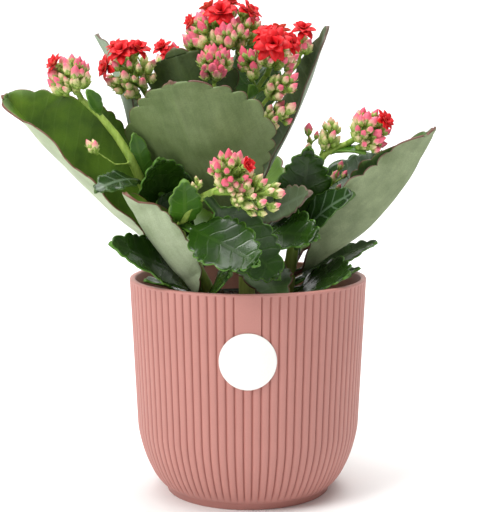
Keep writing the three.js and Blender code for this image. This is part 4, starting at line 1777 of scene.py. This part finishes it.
@dataclass
class FlowerHead:
    """A head of buds and open flowers on branching stalks, inside its CAD node's shape."""

    node: str
    buds: int
    ripe: float
    blooms: tuple[Bloom, ...] = ()
    bud_mm: float = 7.4
    branches: int = 6
    spread: float = 1.0

    dome_middle = 0.52
    top_share = 0.99
    young_share = 0.9
    below_share = 0.45  # how far the dome reaches below its middle, as a share of its height
    lowest_cosine = -0.75
    inner_share = 0.15
    bloom_share = 0.86
    bloom_room = 0.36  # the room a flower takes from buds, as a share of its diameter

    def dome(self, frame: dict, stems: BVHTree) -> Dome:
        """Reads the head's shape from its CAD node.

        Args:
            frame: the loaded frame.
            stems: the stems' surface.

        Returns:
            The shape, as wide as the head spreads.
        """
        points = vertices_of(frame["nodes"][self.node]) / MM
        gaps = np.array([stems.find_nearest(Vector(p))[3] for p in points])
        foot = points[gaps < gaps.min() + 0.4].mean(0)
        reach = np.linalg.norm(points - foot, axis=1)
        axis = unit(points[reach > reach.max() * 0.97].mean(0) - foot)
        height = float(((points - foot) @ axis).max())
        aside = points - foot - np.outer((points - foot) @ axis, axis)
        radius = float(np.linalg.norm(aside, axis=1).max()) * self.spread
        return Dome(foot, axis, height, radius, foot + axis * height * self.dome_middle)

    def build(self, frame: dict, stems: BVHTree, chance: random.Random) -> list[bpy.types.Object]:
        """Builds the stalks, the buds and the open flowers as three pieces and dresses them.

        Args:
            frame: the loaded frame.
            stems: the stems' surface.
            chance: the seeded source of the head's unevenness.

        Returns:
            The pieces.
        """
        dome = self.dome(frame, stems)
        stalks, buds, petals = Parts(), Parts(), Parts()
        forks = self.fork(stalks, dome)

        taken = []
        for bloom in self.blooms:
            place, way = self.bloom_place(bloom, dome)
            bloom.add_to(petals, place, chance)
            taken.append((place, bloom.diameter * self.bloom_room))
            self.stalk(stalks, forks, dome.foot, place - way * 4.5, 0.7)
            Calyx().add_to(stalks, place - way * 3.6, way, 1.7, 2.8)
            self.collar(stalks, place, way)

        for i in range(self.buds):
            level = (i + 0.5) / self.buds
            inner = chance.random() < self.inner_share
            place = self.place_in_dome(dome, 0.96 * level, i, 0.72 if inner else 0.97, chance)
            self.one_bud(stalks, buds, forks, dome, place, level, self.ripe - (0.3 if inner else 0),
                         taken, chance)
        for i in range(int(self.buds * self.young_share)):
            level = 0.6 + 0.8 * chance.random()
            place = self.place_in_dome(dome, level, i + 0.5, chance.uniform(0.5, 0.86), chance)
            self.one_bud(stalks, buds, forks, dome, place, level, chance.uniform(0.0, 0.35), taken,
                         chance)

        pieces = [stalks.piece(self.node + "_stalks", [material_of(STALK_GREEN)]),
                  buds.piece(self.node + "_buds", [material_of(BUD_SKIN)])]
        if petals.count:
            pieces.append(petals.piece(self.node + "_petals",
                                       [material_of(PETAL_FRONT), material_of(PETAL_BACK)]))
        hand_in(pieces[0], "flowers", self.node)
        for piece in pieces[1:]:
            hand_in(piece, "flowers")
        return pieces

    def bloom_place(self, bloom: Bloom, dome: Dome) -> tuple[np.ndarray, np.ndarray]:
        """Where an open flower sits on the dome and the way it looks.

        Args:
            bloom: the flower.
            dome: the head's shape.

        Returns:
            The flower's middle, in millimetres, and its direction.
        """
        way = unit(np.array(bloom.towards, float))
        along = way @ dome.axis
        aside = way - dome.axis * along
        rise = dome.height * (1 - self.dome_middle)
        place = (dome.middle + dome.axis * along * rise * self.bloom_share
                 + unit(aside) * np.linalg.norm(aside) * dome.radius * self.bloom_share)
        return place - way * bloom.inset, way

    def place_in_dome(self, dome: Dome, level: float, step: float, shell: float,
                      chance: random.Random) -> np.ndarray:
        """A place on the head's dome, going round it by the golden turn.

        Args:
            dome: the head's shape.
            level: 0 at the dome's top, 1 at its lower edge.
            step: how many turns round.
            shell: the share of the dome's size.
            chance: the seeded source of the unevenness.

        Returns:
            The place, in millimetres.
        """
        first, second = square_axes(dome.axis)
        polar = math.acos(max(self.lowest_cosine, 1 - level * 1.2))
        turn = step * GOLDEN_TURN + chance.uniform(-0.25, 0.25)
        aside = math.cos(turn) * first + math.sin(turn) * second
        above = self.top_share - self.dome_middle
        rise = dome.height * (above if polar < math.pi / 2 else self.below_share)
        return dome.middle + shell * (dome.axis * math.cos(polar) * rise
                                      + aside * math.sin(polar) * dome.radius)

    def one_bud(self, stalks: Parts, buds: Parts, forks: list[np.ndarray], dome: Dome,
                place: np.ndarray, level: float, ripe: float,
                taken: list[tuple[np.ndarray, float]], chance: random.Random) -> None:
        """Adds a bud whose tip is at a place, with its calyx and its stalk.

        Args:
            stalks: what the calyx and the stalk are collected in.
            buds: what the bud is collected in.
            forks: where the branches end.
            dome: the head's shape.
            place: the bud's tip.
            level: 0 at the dome's top, 1 at its lower edge.
            ripe: how ripe the bud is.
            taken: the open flowers' places and the room they need.
            chance: the seeded source of the unevenness.
        """
        if any(np.linalg.norm(place - where) < room for where, room in taken):
            return
        heading = unit(unit(place - dome.foot) * 0.65 + unit(place - dome.middle) * 0.25
                       + np.array([0, 0, 0.3])
                       + np.array([chance.uniform(-1, 1) for _ in range(3)]) * 0.16)
        length = self.bud_mm * chance.uniform(0.74, 1.24) * min(1.0, 0.66 + ripe)
        ripe = min(1.0, max(0.0, ripe + chance.uniform(-0.38, 0.2) - 0.8 * max(0, level - 0.45)))
        start = place - heading * length
        Bud().add_to(buds, start, heading, length, ripe, chance)
        Calyx().add_to(stalks, start + heading * 0.3, heading, length * 0.28, length * 0.58)
        self.stalk(stalks, forks, dome.foot, start, 0.5)

    def collar(self, stalks: Parts, place: np.ndarray, way: np.ndarray) -> None:
        """Adds the narrow green tube between an open flower and its calyx.

        Args:
            stalks: what it is collected in.
            place: the flower's middle.
            way: the way the flower looks.
        """
        line = np.linspace(place - way * 3.4, place - way * 0.1, 3)
        stalks.add(tube(line, np.array([1.2, 1.1, 1.3]), 6), ring_faces(3, 6),
                   np.linspace(0.2, 1, 18))

    def fork(self, stalks: Parts, dome: Dome) -> list[np.ndarray]:
        """Adds the main stalk and its side branches.

        Args:
            stalks: what they are collected in.
            dome: the head's shape.

        Returns:
            Where the branches end.
        """
        foot, axis, height, radius = dome.foot, dome.axis, dome.height, dome.radius
        first, second = square_axes(axis)
        low = foot - axis * 1.5
        neck = foot + axis * height * 0.2
        thick = min(1.5, max(0.7, radius / 9))
        line = np.linspace(low, neck, 4)
        stalks.add(tube(line, np.linspace(thick * 1.25, thick, 4), 8), ring_faces(4, 8),
                   np.full(32, 0.1))
        ends = []
        for i in range(self.branches):
            turn = i / self.branches * 2 * math.pi + 0.4
            aside = math.cos(turn) * first + math.sin(turn) * second
            end = foot + axis * height * 0.42 + aside * radius * 0.42
            if i == 0:
                end = foot + axis * height * 0.5
            bend = neck + axis * height * 0.09 + aside * radius * 0.12
            line = np.array([neck - axis * 1.5, (neck + bend) / 2, bend, end])
            radii = np.array([0.9, 0.84, 0.78, 0.68]) * thick
            stalks.add(tube(line, radii, 6), ring_faces(4, 6), np.full(24, 0.15))
            ends.append(end)
        return ends

    def stalk(self, stalks: Parts, forks: list[np.ndarray], foot: np.ndarray, end: np.ndarray,
              radius: float) -> None:
        """Adds the thin stalk of one bud or flower, from the nearest branch.

        Args:
            stalks: what it is collected in.
            forks: where the branches end.
            foot: the head's foot.
            end: where the stalk ends.
            radius: its radius.
        """
        start = min(forks, key=lambda fork: float(np.linalg.norm(fork - end)))
        start = start - unit(start - foot) * 0.6
        reach = np.linalg.norm(end - start)
        bend = start + (end - start) * 0.45 + unit(start - foot) * reach * 0.12
        line = np.array([start, bend, end + unit(end - bend) * 0.4])
        stalks.add(tube(line, np.array([radius * 1.1, radius, radius * 1.1]), 5), ring_faces(3, 5),
                   np.repeat([0.1, 0.3, 0.5], 5))


STALK_GREEN = YoungGreen("flower_stalk_green", roughness=0.5, ior=1.4)
BUD_SKIN = BudSkin("closed_bud", roughness=0.42, ior=1.42)
PETAL_FRONT = PetalSkin("petal_front", roughness=0.5, ior=1.4)
PETAL_BACK = PetalSkin("petal_back", roughness=0.55, ior=1.4, main="#ee7a5e", deep="#d8452f")

# node, how many buds, how ripe, open flowers (the way each looks, diameter, openness, inset)
HEADS = (
    FlowerHead("flowers_left", 34, 0.72, (Bloom((-0.75, -0.45, 0.65), 13, 0.75, 1.0),)),
    FlowerHead("flowers_left_small", 4, 0.3, bud_mm=5.6, branches=3),
    FlowerHead("flowers_upper_left", 38, 0.5, (Bloom((-0.9, -0.45, 0.1), 16, 0.9),
                                               Bloom((-0.25, -0.7, 0.7), 17),
                                               Bloom((0.35, -0.5, 0.8), 15,
                                                       0.9), Bloom((-0.5, -0.2, 0.85), 14, 0.8))),
    FlowerHead("flowers_upper_mid", 17, 0.7, (Bloom((0.1, -0.8, 0.5), 15, 0.9),
                                              Bloom((-0.4, -0.5, 0.75), 13, 0.8)),
               branches=5, spread=1.2),
    FlowerHead("flowers_top", 99, 0.8, (Bloom((-0.05, -0.75, 0.7), 19), Bloom((0.1, 0.1, 1), 17),
                                         Bloom((0.75, -0.35, 0.75), 17,
                                               0.9), Bloom((-0.85, -0.45, 0.4), 11, 0.5),
                                         Bloom((-0.4, 0.3, 0.9), 15), Bloom((0.7, 0.4, 0.5), 15),
                                         Bloom((-0.6, 0.6, 0.3), 15)), branches=9, spread=1.15),
    FlowerHead("flowers_centre_left", 29, 0.8),
    FlowerHead("flowers_centre_mid", 12, 0.85, branches=4),
    FlowerHead("flowers_centre_right", 26, 0.75,
               (Bloom((-0.1, -0.92, 0.35), 22), Bloom((-0.4, -0.5, 0.8), 16, 0.9),
                                                  Bloom((0.65, -0.65, 0.4), 15,
                                                          0.85), Bloom((0.1, 0.3, 1), 15))),
    FlowerHead("flowers_right_upper", 9, 0.75, (Bloom((0.05, -0.6, 0.8), 15),), branches=4),
    FlowerHead("flowers_right_side", 13, 0.62, branches=4),
    FlowerHead("flowers_right_lower", 12, 0.6, branches=4),
    FlowerHead("flowers_right_inner", 4, 0.7, bud_mm=6.2, branches=3),
    FlowerHead("flowers_right", 29, 0.9, (Bloom((0.7, -0.6, 0.45), 13, 0.8),)),
    FlowerHead("flowers_right_mid", 13, 0.3, bud_mm=6.6, branches=4),
    FlowerHead("flowers_right_low", 8, 0.7, bud_mm=6.4, branches=3),
    FlowerHead("flowers_front", 29, 0.7, (Bloom((0.65, -0.75, 0.3), 12, 0.35),)),
    FlowerHead("flowers_front_right", 22, 0.36, branches=5),
    FlowerHead("flowers_front_small", 4, 0.4, bud_mm=5.2, branches=2),
)


# ------------------------------------------------------------------ studio


@dataclass(frozen=True)
class SoftLight:
    """A square light: where it stands, what it points at and its side, in metres, and its power."""

    name: str
    place: Direction
    target: Direction
    size: float
    watts: float

    def build(self) -> None:
        """Adds the light."""
        data = bpy.data.lights.new(self.name, "AREA")
        data.size = self.size
        data.energy = self.watts
        lamp = add_object(self.name, data)
        lamp.location = self.place
        aim = Vector(self.target) - Vector(self.place)
        lamp.rotation_euler = aim.to_track_quat("-Z", "Y").to_euler()


LIGHTS = (
    SoftLight("key", (-1.3, -1.1, 1.5), (0, 0, 0.15), 0.9, 32),
    SoftLight("fill", (1.5, -0.9, 0.9), (0, 0, 0.15), 1.2, 2),
    SoftLight("paper_light", (0, 0.2, 2.6), (0, 1.7, 0.4), 2.0, 84),
)


@dataclass
class Studio:
    """The camera, the white paper sweep and the soft lights."""

    camera_mm: Direction = (0.6, -803.0, 247.0)
    pitch_down: float = 7.6
    lens_mm: float = 96.3
    shift_x: float = 0.002
    room_light: float = 0.29
    sweep_front: float = -2.5
    sweep_bend: float = 1.2
    sweep_radius: float = 0.8
    sweep_top: float = 4.0
    sweep_half: float = 4.0

    def camera(self) -> None:
        """Adds the camera."""
        data = bpy.data.cameras.new("camera")
        data.lens = self.lens_mm
        data.shift_x = self.shift_x
        data.clip_start = 0.05
        camera = add_object("camera", data)
        camera.location = Vector(self.camera_mm) * MM
        camera.rotation_euler = (math.radians(90 - self.pitch_down), 0, 0)
        bpy.context.scene.camera = camera

    def sweep(self) -> None:
        """Adds the paper that runs flat under the pot and curves up behind it."""
        bend, radius = self.sweep_bend, self.sweep_radius
        outline = [(self.sweep_front, 0.0), (bend, 0.0)]
        outline += [(bend + radius * math.sin(a), radius - radius * math.cos(a))
                    for a in np.linspace(0.1, math.pi / 2, 16)]
        outline.append((bend + radius, self.sweep_top))
        mesh = bpy.data.meshes.new("paper_sweep")
        points = [(x, y, z) for y, z in outline for x in (-self.sweep_half, self.sweep_half)]
        faces = [(2 * i, 2 * i + 1, 2 * i + 3, 2 * i + 2) for i in range(len(outline) - 1)]
        mesh.from_pydata(points, [], faces)
        floor = add_object("paper_sweep", mesh)
        mesh.materials.append(StudioPaper("studio_paper", roughness=0.9, ior=1.4).material())
        shade_smooth(floor)

    def build(self) -> None:
        """Sets up the whole studio."""
        self.camera()
        self.sweep()
        world = bpy.data.worlds.new("soft_room")
        world.use_nodes = True
        background = world.node_tree.nodes["Background"]
        background.inputs["Color"].default_value = linear("#ffffff")
        background.inputs["Strength"].default_value = self.room_light
        bpy.context.scene.world = world
        for light in LIGHTS:
            light.build()
        bpy.context.scene.view_settings.view_transform = "Standard"


# ------------------------------------------------------------------ the whole


def corners(box: tuple[Vector, Vector]) -> list[list[float]]:
    """A box's two corners as plain numbers.

    Args:
        box: the corners as vectors.

    Returns:
        The corners as lists.
    """
    return [[float(value) for value in corner] for corner in box]


def main() -> None:
    """Builds every sub-assembly around the frame and reports each piece."""
    logging.basicConfig(level=logging.INFO, format="%(message)s")
    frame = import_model()
    chance = random.Random(SEED)

    Studio().build()
    pot = CoverPot()
    pot.build()
    RoundLabel(pot).build()
    NurseryPot().build()
    SoilBed().build(chance)
    stems = Stems()
    surface = stems.surface(frame)
    stems.build(frame)
    for leaf in LEAVES:
        leaf.build(frame, surface, chance)
    for head in HEADS:
        head.build(frame, surface, chance)

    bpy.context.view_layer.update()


if __name__ == "__main__":
    main()
